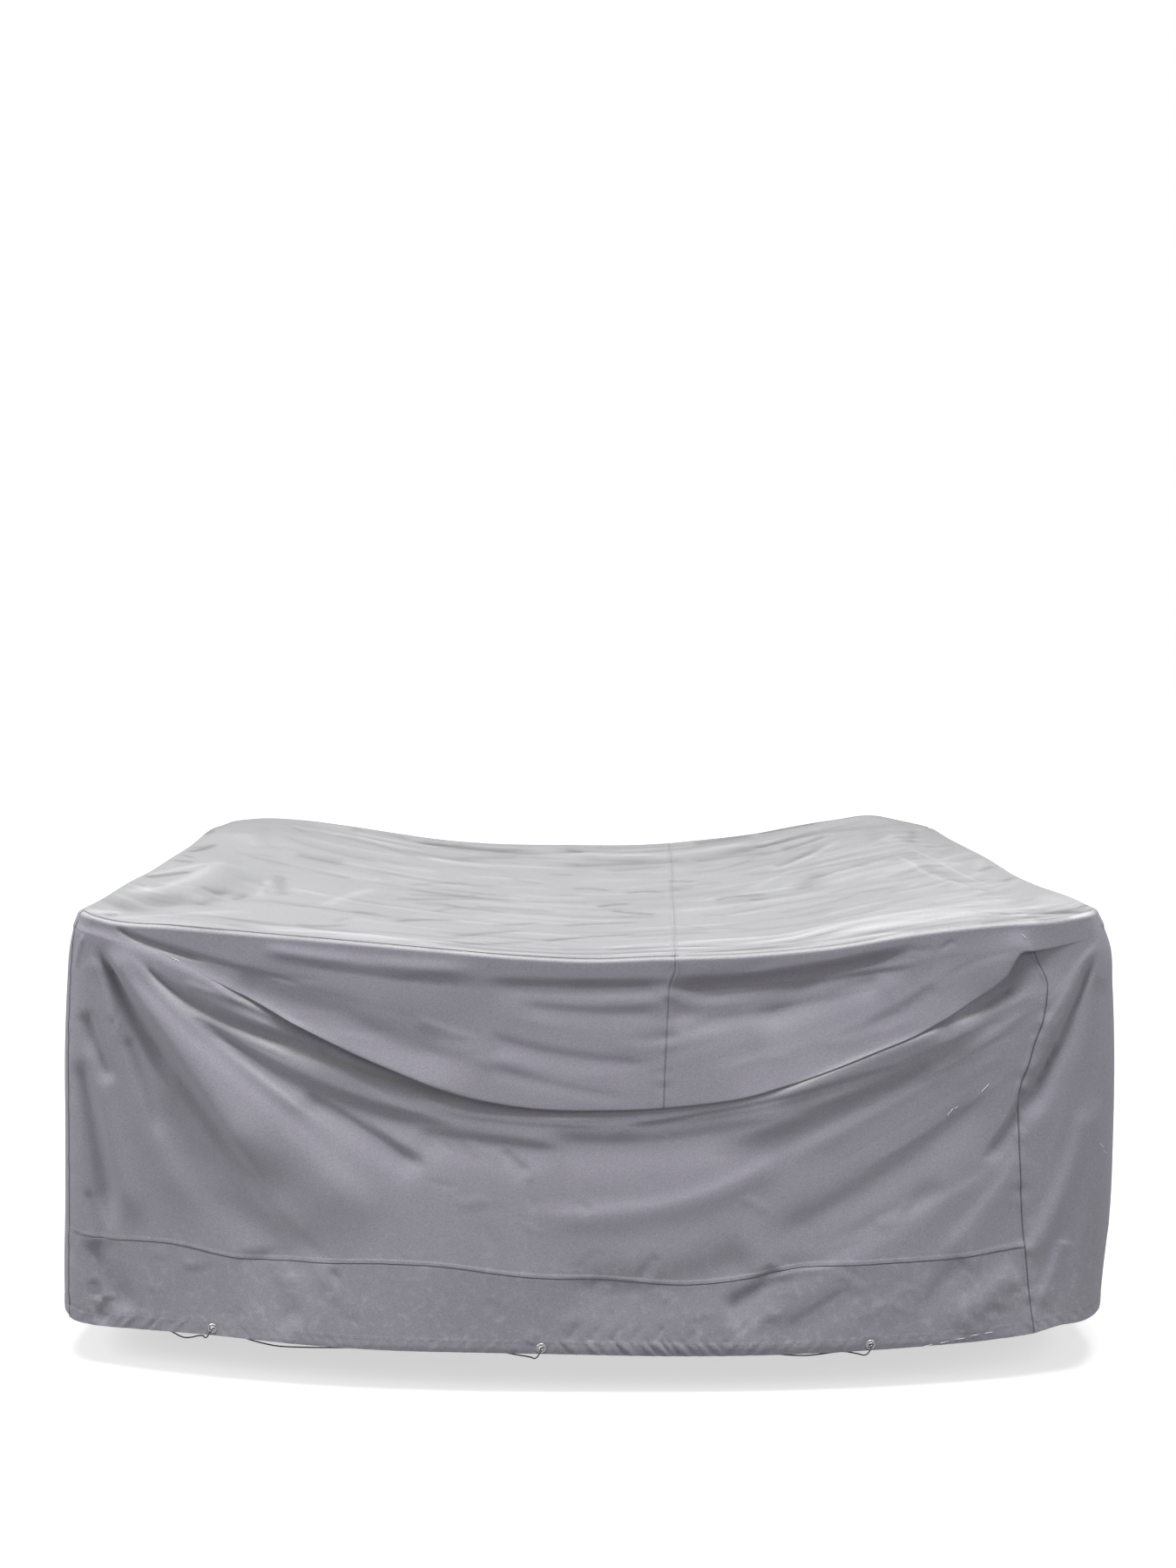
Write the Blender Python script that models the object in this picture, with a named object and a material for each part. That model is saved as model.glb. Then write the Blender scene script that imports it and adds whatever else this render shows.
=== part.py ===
"""A fitted cover over a garden table and chairs: two top panels, walls, hem with eyelets, and a drawcord.

The cloth is one surface, worked out on a loop of columns (front, right, back, left) and rows (top edge
to hem). It is cut into panels along its seams, and each panel is given the cloth's thickness.
"""

import math

import bpy
import numpy as np

for old in list(bpy.data.objects):
    bpy.data.objects.remove(old, do_unlink=True)

# Sizes in metres. +X is right, +Y is back, +Z is up, and the origin is under the middle of the top.
CLOTH = 0.002  # thickness
SEAM_GAP = 0.0004  # between two sewn panels
HALF_DEPTH = 0.80  # from the middle to the front and back top edges
CORNER_LEVEL = 0.14  # height of the top's corners
WALL_HEIGHT = 0.92  # from the corners to the hem
EDGE_RADIUS = 0.022  # how the cloth rolls over the top's edge
SIDE_DROP = 0.036  # how far the top panels reach down at the sides and the back
HEM_BAND = 0.026  # height of the turned-up hem
TOP_SAG = 0.040  # the middle of the top below what its edges give
LEFT_SPREAD = 0.045  # the back left corner stands this much further out
FRONT_BULGE = 0.115  # how far the hem's middle swings forward
BACK_BULGE = 0.05
FOLD_FLOOR = 0.024  # the narrowest fold in these solids

# Columns round the loop, counted from the front left corner: front, right, back, left.
FRONT_SPANS, SIDE_SPANS = 56, 16
LOOP = 2 * (FRONT_SPANS + SIDE_SPANS)
RIGHT_START, BACK_START, LEFT_START = 56, 72, 128
ARC_SPANS = 2  # spans between a side's end and the 45 degree point of its corner
CENTRE_COLUMN, CORNER_SEAM_COLUMN = 32, 51
# Rows from the top edge down.
ROLL_END, FOLD_ROW, SEAM_ROW, BAND_ROW, STITCH_ROW, HEM_ROW = 2, 5, 6, 14, 16, 17
COARSE_ROWS = (0, 2, 5, 6, 8, 10, 12, 14, 16, 17)

# (x, spans to the next row) along the front
COLUMNS = (
    (-1.080, 6),
    (-0.835, 1),
    (-0.801, 16),
    (-0.116, 1),
    (-0.082, 6),
    (0.168, 10),
    (0.593, 1),
    (0.627, 8),
    (0.965, 3),
    (1.065, 0),
)
# (height, left half width, right half width, corner radius) of the walls
WALLS = (
    (-0.80, 1.187, 1.168, 0.105),
    (-0.67, 1.184, 1.172, 0.100),
    (-0.57, 1.178, 1.176, 0.095),
    (-0.37, 1.169, 1.176, 0.085),
    (-0.17, 1.162, 1.170, 0.075),
    (-0.03, 1.155, 1.161, 0.068),
    (0.06, 1.146, 1.153, 0.058),
    (0.10, 1.136, 1.140, 0.048),
    (0.16, 1.114, 1.112, 0.034),
)
# (x, height) of the front top edge
FRONT_EDGE = (
    (-1.12, 0.142),
    (-1.045, 0.121),
    (-0.90, 0.109),
    (-0.71, 0.093),
    (-0.52, 0.077),
    (-0.33, 0.060),
    (-0.14, 0.044),
    (0.00, 0.038),
    (0.14, 0.043),
    (0.33, 0.049),
    (0.52, 0.066),
    (0.71, 0.096),
    (0.90, 0.115),
    (1.03, 0.124),
    (1.12, 0.144),
)
# (x, height) of the back top edge
BACK_EDGE = (
    (-1.16, 0.141),
    (-1.07, 0.149),
    (-0.94, 0.143),
    (-0.785, 0.123),
    (-0.64, 0.100),
    (-0.50, 0.079),
    (-0.33, 0.063),
    (-0.14, 0.059),
    (0.07, 0.059),
    (0.27, 0.074),
    (0.50, 0.097),
    (0.64, 0.119),
    (0.80, 0.142),
    (0.94, 0.158),
    (1.04, 0.138),
    (1.12, 0.120),
)
# (y, height) of the left and the right top edge
LEFT_EDGE = (
    (-0.80, 0.142),
    (-0.62, 0.136),
    (-0.40, 0.139),
    (-0.20, 0.134),
    (0.00, 0.138),
    (0.23, 0.142),
    (0.42, 0.159),
    (0.62, 0.150),
    (0.80, 0.141),
)
RIGHT_EDGE = (
    (-0.80, 0.144),
    (-0.60, 0.140),
    (-0.31, 0.125),
    (-0.08, 0.119),
    (0.10, 0.128),
    (0.38, 0.126),
    (0.60, 0.122),
    (0.80, 0.120),
)
# (x, height, how far it stands out) of the fold under which the front apron meets the skirt
FOLD_LINE = (
    (-1.12, 0.100, 0.002),
    (-1.069, 0.096, 0.003),
    (-0.993, 0.072, 0.006),
    (-0.897, 0.041, 0.010),
    (-0.802, -0.012, 0.014),
    (-0.707, -0.068, 0.018),
    (-0.612, -0.117, 0.020),
    (-0.517, -0.163, 0.021),
    (-0.422, -0.201, 0.020),
    (-0.328, -0.232, 0.019),
    (-0.140, -0.273, 0.018),
    (0.047, -0.278, 0.016),
    (0.165, -0.275, 0.014),
    (0.328, -0.253, 0.012),
    (0.422, -0.226, 0.011),
    (0.516, -0.195, 0.012),
    (0.611, -0.159, 0.014),
    (0.706, -0.119, 0.016),
    (0.801, -0.073, 0.020),
    (0.897, -0.014, 0.026),
    (0.950, 0.026, 0.024),
    (0.985, 0.042, 0.006),
    (1.068, 0.077, 0.002),
    (1.12, 0.100, 0.002),
)
# (x, height) of the seam above the bottom band
BAND_SEAM = (
    (-1.15, -0.580),
    (-1.12, -0.585),
    (-0.907, -0.589),
    (-0.749, -0.613),
    (-0.613, -0.614),
    (-0.422, -0.611),
    (-0.328, -0.614),
    (-0.140, -0.634),
    (0.047, -0.643),
    (0.234, -0.646),
    (0.327, -0.640),
    (0.422, -0.624),
    (0.611, -0.614),
    (0.804, -0.608),
    (0.958, -0.597),
    (1.12, -0.580),
)
# (x, height) of the front hem
HEM = (
    (-1.15, -0.780),
    (-1.00, -0.782),
    (-0.82, -0.778),
    (-0.61, -0.786),
    (-0.42, -0.791),
    (-0.23, -0.791),
    (-0.05, -0.793),
    (0.14, -0.797),
    (0.33, -0.798),
    (0.52, -0.795),
    (0.71, -0.792),
    (0.90, -0.785),
    (1.00, -0.781),
    (1.12, -0.780),
)
# (height, x) of the seam between the two top panels, where it runs down the apron
CENTRE_SEAM = (
    (-0.278, 0.164),
    (-0.217, 0.166),
    (-0.143, 0.170),
    (-0.068, 0.174),
    (-0.022, 0.177),
    (0.015, 0.189),
    (0.043, 0.189),
)
CENTRE_SEAM_BACK = 0.267  # x of its back end
# (height, x) of the seam where the right wall is pulled round onto the front
CORNER_SEAM = (
    (-0.780, 0.977),
    (-0.703, 0.967),
    (-0.607, 0.958),
    (-0.549, 0.952),
    (-0.435, 0.947),
    (-0.320, 0.944),
    (-0.244, 0.946),
    (-0.188, 0.966),
    (-0.150, 0.976),
    (-0.103, 0.993),
    (-0.055, 1.002),
    (-0.013, 1.003),
    (0.036, 0.981),
    (0.080, 0.965),
)
# Folds of the front: a curve through three points (x, height), its width at each end, how far it stands
# out (or in), and how much steeper its lower side is.
FRONT_FOLDS = (
    # name, x0, z0, x1, z1, x2, z2, width0, width1, depth, lean
    ("edge roll left", -0.653, 0.034, -0.293, -0.009, 0.085, -0.031, 0.016, 0.024, -0.012, 0.0),
    ("edge roll right", 0.047, -0.031, 0.387, -0.009, 0.700, 0.046, 0.024, 0.014, -0.012, 0.0),
    ("edge crease", -1.026, 0.100, -0.844, 0.035, -0.615, -0.029, 0.008, 0.014, -0.010, 0.0),
    ("corner ridge", -1.065, 0.092, -0.864, 0.018, -0.539, -0.130, 0.012, 0.030, 0.013, 0.0),
    ("apron band", -0.653, -0.052, -0.142, -0.091, 0.482, -0.054, 0.018, 0.030, -0.008, 0.0),
    ("apron swell left", -0.520, -0.051, -0.292, -0.125, -0.066, -0.207, 0.030, 0.040, 0.008, 0.0),
    ("apron swell right", 0.236, -0.198, 0.538, -0.125, 0.824, 0.013, 0.040, 0.030, 0.010, 0.0),
    ("under the fold", -0.960, 0.017, -0.672, -0.139, -0.292, -0.269, 0.010, 0.020, -0.016, 0.0),
    ("second swag left", -0.893, -0.055, -0.519, -0.223, -0.066, -0.318, 0.008, 0.016, 0.014, 0.3),
    ("second swag right", -0.066, -0.318, 0.329, -0.280, 0.728, -0.161, 0.016, 0.010, 0.013, 0.3),
    ("swag hollow left", -0.874, -0.097, -0.557, -0.272, -0.103, -0.368, 0.010, 0.022, -0.017, 0.0),
    ("swag hollow right", -0.066, -0.360, 0.386, -0.328, 0.824, -0.128, 0.022, 0.014, -0.013, 0.0),
    ("long ridge", -1.046, 0.067, -0.807, -0.154, -0.519, -0.353, 0.008, 0.020, 0.017, 0.4),
    ("short fold", -0.586, -0.243, -0.471, -0.326, -0.344, -0.417, 0.008, 0.012, -0.010, 0.0),
    ("broad swell", -0.999, 0.001, -0.730, -0.279, -0.442, -0.459, 0.020, 0.060, 0.013, 0.0),
    ("steep hollow", -1.060, 0.058, -0.904, -0.198, -0.613, -0.528, 0.010, 0.040, -0.023, 0.0),
    ("steep ridge", -1.079, 0.057, -0.964, -0.271, -0.729, -0.621, 0.010, 0.045, 0.018, 0.0),
    ("second hollow", -1.123, -0.156, -1.073, -0.369, -1.024, -0.565, 0.008, 0.020, -0.013, 0.0),
    ("hem hollow left", -1.088, -0.606, -1.041, -0.665, -0.980, -0.752, 0.012, 0.018, -0.010, 0.0),
    ("low swell", -0.866, -0.435, -0.651, -0.614, -0.478, -0.754, 0.030, 0.060, 0.010, 0.0),
    ("long crest", 1.007, -0.046, 0.613, -0.279, 0.159, -0.496, 0.012, 0.035, 0.017, 0.3),
    ("crest tail", 0.234, -0.471, 0.047, -0.510, -0.216, -0.497, 0.030, 0.030, 0.008, 0.3),
    ("upper hollow", 0.920, -0.054, 0.652, -0.197, 0.348, -0.328, 0.010, 0.025, -0.012, 0.0),
    ("second crest", 0.921, -0.172, 0.632, -0.350, 0.234, -0.529, 0.012, 0.030, 0.010, 0.3),
    ("wide hollow", 0.902, -0.357, 0.535, -0.551, 0.047, -0.656, 0.020, 0.045, -0.018, -0.3),
    ("third crest", 0.873, -0.403, 0.593, -0.538, 0.280, -0.686, 0.012, 0.030, 0.014, 0.3),
    ("hem hollow mid", 0.526, -0.599, 0.403, -0.644, 0.290, -0.700, 0.010, 0.014, -0.013, 0.0),
    ("fourth crest", 0.902, -0.433, 0.785, -0.559, 0.668, -0.703, 0.016, 0.030, 0.010, 0.0),
    ("corner ridge right", 1.115, 0.085, 1.027, -0.056, 0.917, -0.266, 0.006, 0.014, 0.016, 0.0),
    ("corner hollow right", 1.093, 0.049, 1.008, -0.151, 0.859, -0.403, 0.008, 0.018, -0.026, 0.0),
    ("outer ridge right", 1.127, 0.077, 1.067, -0.133, 0.981, -0.398, 0.008, 0.030, 0.013, 0.0),
    ("low crest right", 0.922, -0.547, 0.843, -0.637, 0.726, -0.705, 0.016, 0.030, 0.010, 0.0),
)
# The same for the top, with (x, y) points and the depth counted upwards.
TOP_FOLDS = (
    ("left margin ridge", -1.06, -0.56, -0.97, -0.24, -1.04, 0.16, 0.030, 0.040, 0.012, 0.0),
    ("left valley", -0.93, -0.55, -0.86, -0.30, -0.84, -0.05, 0.060, 0.070, -0.012, 0.0),
    ("back left hump", -1.02, 0.30, -0.96, 0.50, -0.93, 0.70, 0.090, 0.080, 0.010, 0.0),
    ("front right ridge", 1.04, -0.53, 0.80, -0.58, 0.45, -0.66, 0.040, 0.070, 0.012, 0.0),
    ("right ridge", 0.914, 0.18, 0.940, -0.16, 0.990, -0.50, 0.030, 0.030, 0.009, 0.0),
    ("right hump fan", 0.86, 0.72, 0.60, 0.58, 0.25, 0.42, 0.030, 0.050, 0.008, 0.0),
    ("right hump valley", 0.84, 0.62, 0.66, 0.42, 0.40, 0.25, 0.030, 0.050, -0.008, 0.0),
    ("left hump fan", -0.90, 0.68, -0.72, 0.55, -0.50, 0.42, 0.030, 0.050, 0.007, 0.0),
    ("back crease", -0.70, 0.66, -0.30, 0.58, 0.30, 0.60, 0.030, 0.030, -0.006, 0.0),
)
# The plain soft folds of the hidden walls: (y, height) points on the sides, (x, height) on the back.
LEFT_FOLDS = (
    ("front hang", -0.62, 0.060, -0.55, -0.350, -0.50, -0.770, 0.020, 0.060, -0.012, 0.0),
    ("middle hang", -0.10, -0.100, -0.05, -0.450, 0.00, -0.780, 0.030, 0.070, 0.012, 0.0),
    ("back hang", 0.66, 0.060, 0.52, -0.350, 0.45, -0.770, 0.020, 0.070, -0.014, 0.0),
)
RIGHT_FOLDS = (
    ("front hang", -0.60, 0.060, -0.48, -0.350, -0.42, -0.770, 0.020, 0.070, -0.013, 0.0),
    ("middle hang", 0.08, -0.060, 0.10, -0.400, 0.06, -0.780, 0.030, 0.080, 0.012, 0.0),
    ("back hang", 0.64, 0.050, 0.58, -0.350, 0.55, -0.770, 0.020, 0.060, -0.012, 0.0),
)
BACK_FOLDS = (
    ("left hang", -1.00, 0.080, -0.78, -0.300, -0.62, -0.770, 0.030, 0.090, -0.014, 0.0),
    ("left swag", -0.90, 0.000, -0.40, -0.220, 0.10, -0.260, 0.030, 0.060, 0.010, 0.0),
    ("middle hang", -0.12, -0.300, -0.08, -0.550, 0.00, -0.780, 0.050, 0.100, 0.010, 0.0),
    ("right hang", 0.98, 0.080, 0.80, -0.300, 0.66, -0.770, 0.030, 0.090, -0.014, 0.0),
)

# Eyelets: (name, loop column of its cell, spans of the cell)
EYELETS = (
    ("eyelet_front_left", 8, 1),
    ("eyelet_front_middle", 25, 1),
    ("eyelet_front_right", 42, 1),
    ("eyelet_right_front", 60, 1),
    ("eyelet_right_back", 67, 1),
    ("eyelet_back_right", 80, 2),
    ("eyelet_back_middle", 98, 2),
    ("eyelet_back_left", 116, 2),
    ("eyelet_left_back", 132, 1),
    ("eyelet_left_front", 139, 1),
)
HOLE_RADIUS = 0.0064  # in the cloth
HOLE_SIDES = 16
# (radius, distance in front of the cloth) round an eyelet's section
EYELET_SECTION = (
    (0.0055, 0.0010),
    (0.0068, 0.0015),
    (0.0105, 0.0004),
    (0.0060, 0.0004),
    (0.0060, -0.0024),
    (0.0105, -0.0024),
    (0.0068, -0.0034),
    (0.0055, -0.0030),
)
EYELET_SIDES = 16

CORD_RADIUS = 0.0015
# How the cord passes an eyelet: (along, outward, up) from the hole's middle. It comes from inside, goes
# under the hem's edge, up in front of the cloth and back in through the hole.
THREADING = (
    (-0.030, -0.010, -0.022),
    (-0.012, 0.0050, -0.0195),
    (0.000, 0.0065, -0.0036),
    (0.000, -0.0090, -0.0036),
    (0.030, -0.015, -0.006),
)
# The cord's way between the eyelets: (loop column, how far inside the hem, how far below its edge)
CORD_ROUTE = (
    (101.0, 0.022, -0.020),
    (108.0, 0.020, -0.010),
    (126.4, 0.022, -0.010),
    (129.6, 0.022, -0.010),
    (136.0, 0.020, -0.010),
    (142.6, 0.022, -0.010),
    (145.4, 0.022, -0.010),
    (149.8, 0.014, 0.002),
    (151.0, 0.008, 0.015),
    (154.2, 0.016, 0.004),
    (155.5, 0.016, 0.015),
    (156.8, 0.016, 0.016),
    (160.8, 0.016, 0.004),
    (165.0, 0.020, -0.006),
    (177.5, 0.020, -0.006),
    (180.6, 0.016, 0.001),
    (183.1, 0.012, 0.010),
    (185.0, 0.010, 0.004),
    (191.0, 0.020, -0.006),
    (198.6, 0.022, -0.010),
    (201.4, 0.022, -0.010),
    (208.0, 0.020, -0.010),
    (214.6, 0.022, -0.010),
    (217.4, 0.022, -0.010),
    (234.0, 0.020, -0.010),
)

CLOTH_COLOUR = (0.290, 0.285, 0.325, 1.0)
METAL_COLOUR = (0.62, 0.62, 0.63, 1.0)
CORD_COLOUR = (0.06, 0.06, 0.07, 1.0)


def smooth_step(t):
    """0 below 0, 1 above 1, and a soft S between."""
    t = np.clip(t, 0.0, 1.0)
    return t * t * (3 - 2 * t)


def through(rows, at, column=1):
    """A smooth curve through a table's rows, read at the values at of its first column."""
    table = np.array(rows, float)
    x, y = table[:, 0], table[:, column]
    slope = np.gradient(y, x)
    at = np.clip(at, x[0], x[-1])
    i = np.clip(np.searchsorted(x, at) - 1, 0, len(x) - 2)
    wide = x[i + 1] - x[i]
    t = (at - x[i]) / wide
    rise = (2 * t**3 - 3 * t**2 + 1) * y[i] + (3 * t**2 - 2 * t**3) * y[i + 1]
    return rise + wide * ((t**3 - 2 * t**2 + t) * slope[i] + (t**3 - t**2) * slope[i + 1])


def column_x(u):
    """The nominal x of front column u."""
    counted = np.cumsum([ARC_SPANS] + [row[1] for row in COLUMNS[:-1]])
    return np.interp(u, counted, [row[0] for row in COLUMNS])


def fold_sum(folds, a, b):
    """How far all the folds of a table move the points (a, b) out."""
    total = np.zeros_like(a)
    u = np.linspace(0.0, 1.0, 33)
    for _, a0, b0, a1, b1, a2, b2, width0, width1, depth, lean in folds:
        first, middle, last = (1 - u) * (1 - 2 * u), 4 * u * (1 - u), u * (2 * u - 1)
        line_a = first * a0 + middle * a1 + last * a2
        line_b = first * b0 + middle * b1 + last * b2
        da, db = a[..., None] - line_a, b[..., None] - line_b
        nearest = np.argmin(da**2 + db**2, axis=-1)
        step = np.clip(nearest, 0, len(u) - 2)
        ta, tb = np.diff(line_a)[step], np.diff(line_b)[step]
        da = np.take_along_axis(da, step[..., None], -1)[..., 0]
        db = np.take_along_axis(db, step[..., None], -1)[..., 0]
        long = np.hypot(ta, tb)
        along = (da * ta + db * tb) / long**2
        away = (da * tb - db * ta) / long
        below = away * np.sign(ta + 1e-9)
        place = (step + along) / (len(u) - 1)
        drawn = width0 + (width1 - width0) * np.clip(place, 0, 1)
        width = np.maximum(drawn, FOLD_FLOOR)
        height = depth * np.sqrt(drawn / width)
        height = height * smooth_step(place / 0.15) * smooth_step((1 - place) / 0.2)
        width = width * np.where(below > 0, 1 - lean, 1 + lean)
        total += height * np.exp(-((away / width) ** 2))
    return total


def outline(s, z):
    """Where loop column s stands at height z, seen from above: x, y and the outward direction."""
    s = np.mod(s, LOOP)
    left, right, radius = (through(WALLS, z, k) for k in (1, 2, 3))
    down = np.clip((CORNER_LEVEL - z) / WALL_HEIGHT, 0, 1)
    depth = HALF_DEPTH + 0.02 * down
    back_left = left + LEFT_SPREAD * (1 - down)
    centres = (
        (-left + radius, -depth + radius),
        (right - radius, -depth + radius),
        (right - radius, depth - radius),
        (-back_left + radius, depth - radius),
    )
    normals = ((0, -1), (1, 0), (0, 1), (-1, 0))
    starts = (0, RIGHT_START, BACK_START, LEFT_START)
    x, y, nx, ny = (np.zeros_like(s) for _ in range(4))
    for k in range(4):
        spans = FRONT_SPANS if k % 2 == 0 else SIDE_SPANS
        u = s - starts[k]
        here = (u >= 0) & (u <= spans)
        into = np.clip((ARC_SPANS - u) / ARC_SPANS, 0, 1) * math.pi / 4
        out = np.clip((u - spans + ARC_SPANS) / ARC_SPANS, 0, 1) * math.pi / 4
        if k == 0:
            share = (column_x(u) - COLUMNS[0][0]) / (COLUMNS[-1][0] - COLUMNS[0][0])
        elif k == 2:
            share = 1 - (column_x(spans - u) - COLUMNS[0][0]) / (COLUMNS[-1][0] - COLUMNS[0][0])
        else:
            share = np.clip((u - ARC_SPANS) / (spans - 2 * ARC_SPANS), 0, 1)
        n, before, after = normals[k], normals[k - 1], normals[(k + 1) % 4]
        dx = np.cos(into + out) * n[0] + np.sin(into) * before[0] + np.sin(out) * after[0]
        dy = np.cos(into + out) * n[1] + np.sin(into) * before[1] + np.sin(out) * after[1]
        (x0, y0), (x1, y1) = centres[k], centres[(k + 1) % 4]
        px = x0 + share * (x1 - x0) + radius * dx
        py = y0 + share * (y1 - y0) + radius * dy
        x, y = np.where(here, px, x), np.where(here, py, y)
        nx, ny = np.where(here, dx, nx), np.where(here, dy, ny)
    front = np.clip(1 - np.abs((x - 0.05) / 1.16) ** 2.6, 0, 1) * np.clip(-ny, 0, 1)
    back = np.clip(1 - np.abs(x / 1.16) ** 2.4, 0, 1) * np.clip(ny, 0, 1)
    y = y - (0.015 + FRONT_BULGE * down**1.1) * front + (0.010 + BACK_BULGE * down) * back
    return x, y, nx, ny


def seam_shift(s, z):
    """How far columns near a seam lean along X to follow it."""
    s = np.mod(s, LOOP)
    centre = np.clip(1 - np.abs(s - CENTRE_COLUMN) / 6, 0, 1)
    target = through(CENTRE_SEAM, z) - column_x(CENTRE_COLUMN)
    fade = smooth_step((z + 0.50) / 0.20)
    shift = centre * target * fade
    away = s - CORNER_SEAM_COLUMN
    corner = np.clip(np.where(away < 0, 1 + away / 6, 1 - away / 3), 0, 1)
    shift = shift + corner * (through(CORNER_SEAM, z) - column_x(CORNER_SEAM_COLUMN))
    back = np.clip(1 - np.abs(s - (LEFT_START - CENTRE_COLUMN)) / 14, 0, 1)
    return shift + back * (CENTRE_SEAM_BACK - column_x(CENTRE_COLUMN))


def lines(s):
    """The heights of the top edge, the apron's fold, the band seam and the hem at loop column s."""
    s = np.mod(s, LOOP)
    x, y, _, _ = outline(s, np.full_like(s, CORNER_LEVEL))
    on_front = s <= RIGHT_START
    on_right = (s > RIGHT_START) & (s < BACK_START)
    on_back = (s >= BACK_START) & (s <= LEFT_START)
    sides = np.where(on_right, through(RIGHT_EDGE, y), through(LEFT_EDGE, y))
    edge = np.where(on_front, through(FRONT_EDGE, x), np.where(on_back, through(BACK_EDGE, x), sides))
    fold = np.where(on_front, np.minimum(through(FOLD_LINE, x), edge - SIDE_DROP), edge - SIDE_DROP)
    lip = np.where(on_front, through(FOLD_LINE, x, 2), 0.002)
    band = np.where(on_front, through(BAND_SEAM, x), -0.58)
    hem = np.where(on_front, through(HEM, x), -0.78)
    return edge, fold, lip, band, hem


def wall(s, r):
    """The cloth's outer surface at loop column s and row r, below the top's edge."""
    s, r = np.broadcast_arrays(np.asarray(s, float), np.asarray(r, float))
    edge, fold, lip, band, hem = lines(s)
    turn = np.clip(r / ROLL_END, 0, 1) * math.pi / 2
    rolled = edge - EDGE_RADIUS
    seam = fold - 0.006 + 0.009 * np.clip(lip / 0.018, 0, 1)
    rows = (ROLL_END, FOLD_ROW, SEAM_ROW, BAND_ROW, STITCH_ROW, HEM_ROW)
    heights = (rolled, fold, seam, band, hem + HEM_BAND, hem)
    z = edge - EDGE_RADIUS * (1 - np.cos(turn))
    for (r0, z0), (r1, z1) in zip(zip(rows, heights), zip(rows[1:], heights[1:])):
        z = np.where(r > r0, z0 + (z1 - z0) * np.clip((r - r0) / (r1 - r0), 0, 1), z)
    stand = lip * smooth_step((r - ROLL_END) / (FOLD_ROW - ROLL_END))
    stand = np.where(r > FOLD_ROW, lip * np.clip(SEAM_ROW - r, 0, 1), stand)
    x, y, nx, ny = outline(s, z)
    x = x + seam_shift(s, z)
    front, right, back, left = (np.clip(v, 0, 1) for v in (-ny, nx, ny, -nx))
    out = stand - EDGE_RADIUS * (1 - np.sin(turn))
    out = out + smooth_step(front / 0.8) * fold_sum(FRONT_FOLDS, x, z)
    out = out + smooth_step((right - 0.6) / 0.4) * fold_sum(RIGHT_FOLDS, y, z)
    out = out + smooth_step((left - 0.6) / 0.4) * fold_sum(LEFT_FOLDS, y, z)
    out = out + smooth_step((back - 0.6) / 0.4) * fold_sum(BACK_FOLDS, x, z)
    return np.stack([x + nx * out, y + ny * out, z], axis=-1)


def top(i, j):
    """The cloth's outer surface at top column i (left to right) and row j (front to back)."""
    i, j = np.broadcast_arrays(np.asarray(i, float), np.asarray(j, float))
    front, back = wall(i, 0), wall(LEFT_START - i, 0)
    left, right = wall(LOOP - j, 0), wall(RIGHT_START + j, 0)
    ends = [wall(np.full(1, float(k)), 0)[0] for k in (0, RIGHT_START, LEFT_START, BACK_START)]
    u = (front[..., 0] - ends[0][0]) / (ends[1][0] - ends[0][0])
    v = (right[..., 1] - ends[1][1]) / (ends[3][1] - ends[1][1])
    u, v = u[..., None], v[..., None]
    p = (1 - v) * front + v * back + (1 - u) * left + u * right
    p = p - (1 - u) * ((1 - v) * ends[0] + v * ends[2]) - u * ((1 - v) * ends[1] + v * ends[3])
    x, y = p[..., 0], p[..., 1]
    inside = np.clip(1 - (x / 1.11) ** 2, 0, 1) * np.clip(1 - (y / 0.79) ** 2, 0, 1)
    rim = smooth_step(np.minimum(1.09 - np.abs(x), 0.775 - np.abs(y)) / 0.08)
    p[..., 2] += rim * fold_sum(TOP_FOLDS, x, y) - TOP_SAG * inside
    return p


class Surface:
    """The whole cloth as points and faces, each face with the panel that it belongs to."""

    def __init__(self):
        self.keys, self.faces, self.panels = {}, [], []

    def point(self, key):
        return self.keys.setdefault(key, len(self.keys))

    def points(self):
        """Every point's place, in the order of the keys."""
        found = np.zeros((len(self.keys), 3))
        for kind, shape in (("wall", wall), ("top", top)):
            some = [k for k in self.keys if k[0] == kind]
            a, b = np.array([k[1] for k in some]), np.array([k[2] for k in some])
            found[[self.keys[k] for k in some]] = shape(a, b)
        return found

    def face(self, panel, keys):
        self.faces.append([self.point(k) for k in keys])
        self.panels.append(panel)

    def strip(self, panel, one, other):
        """Triangles between two lines of keys that run the same way, one with more points."""
        a, b = 0, 0
        while a < len(one) - 1 or b < len(other) - 1:
            ahead_a = (a + 1) / max(len(one) - 1, 1)
            ahead_b = (b + 1) / max(len(other) - 1, 1)
            if b == len(other) - 1 or (a < len(one) - 1 and ahead_a <= ahead_b):
                self.face(panel, [one[a], other[b], one[a + 1]])
                a += 1
            else:
                self.face(panel, [one[a], other[b], other[b + 1]])
                b += 1


def wall_key(column, row):
    return ("wall", column % LOOP, row)


def top_key(i, j):
    """The key of a top point, which on the rim is the wall's own."""
    if j == 0:
        return wall_key(i, 0)
    if j == SIDE_SPANS:
        return wall_key(LEFT_START - i, 0)
    if i == 0:
        return wall_key(LOOP - j, 0)
    if i == FRONT_SPANS:
        return wall_key(RIGHT_START + j, 0)
    return ("top", i, j)


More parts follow.
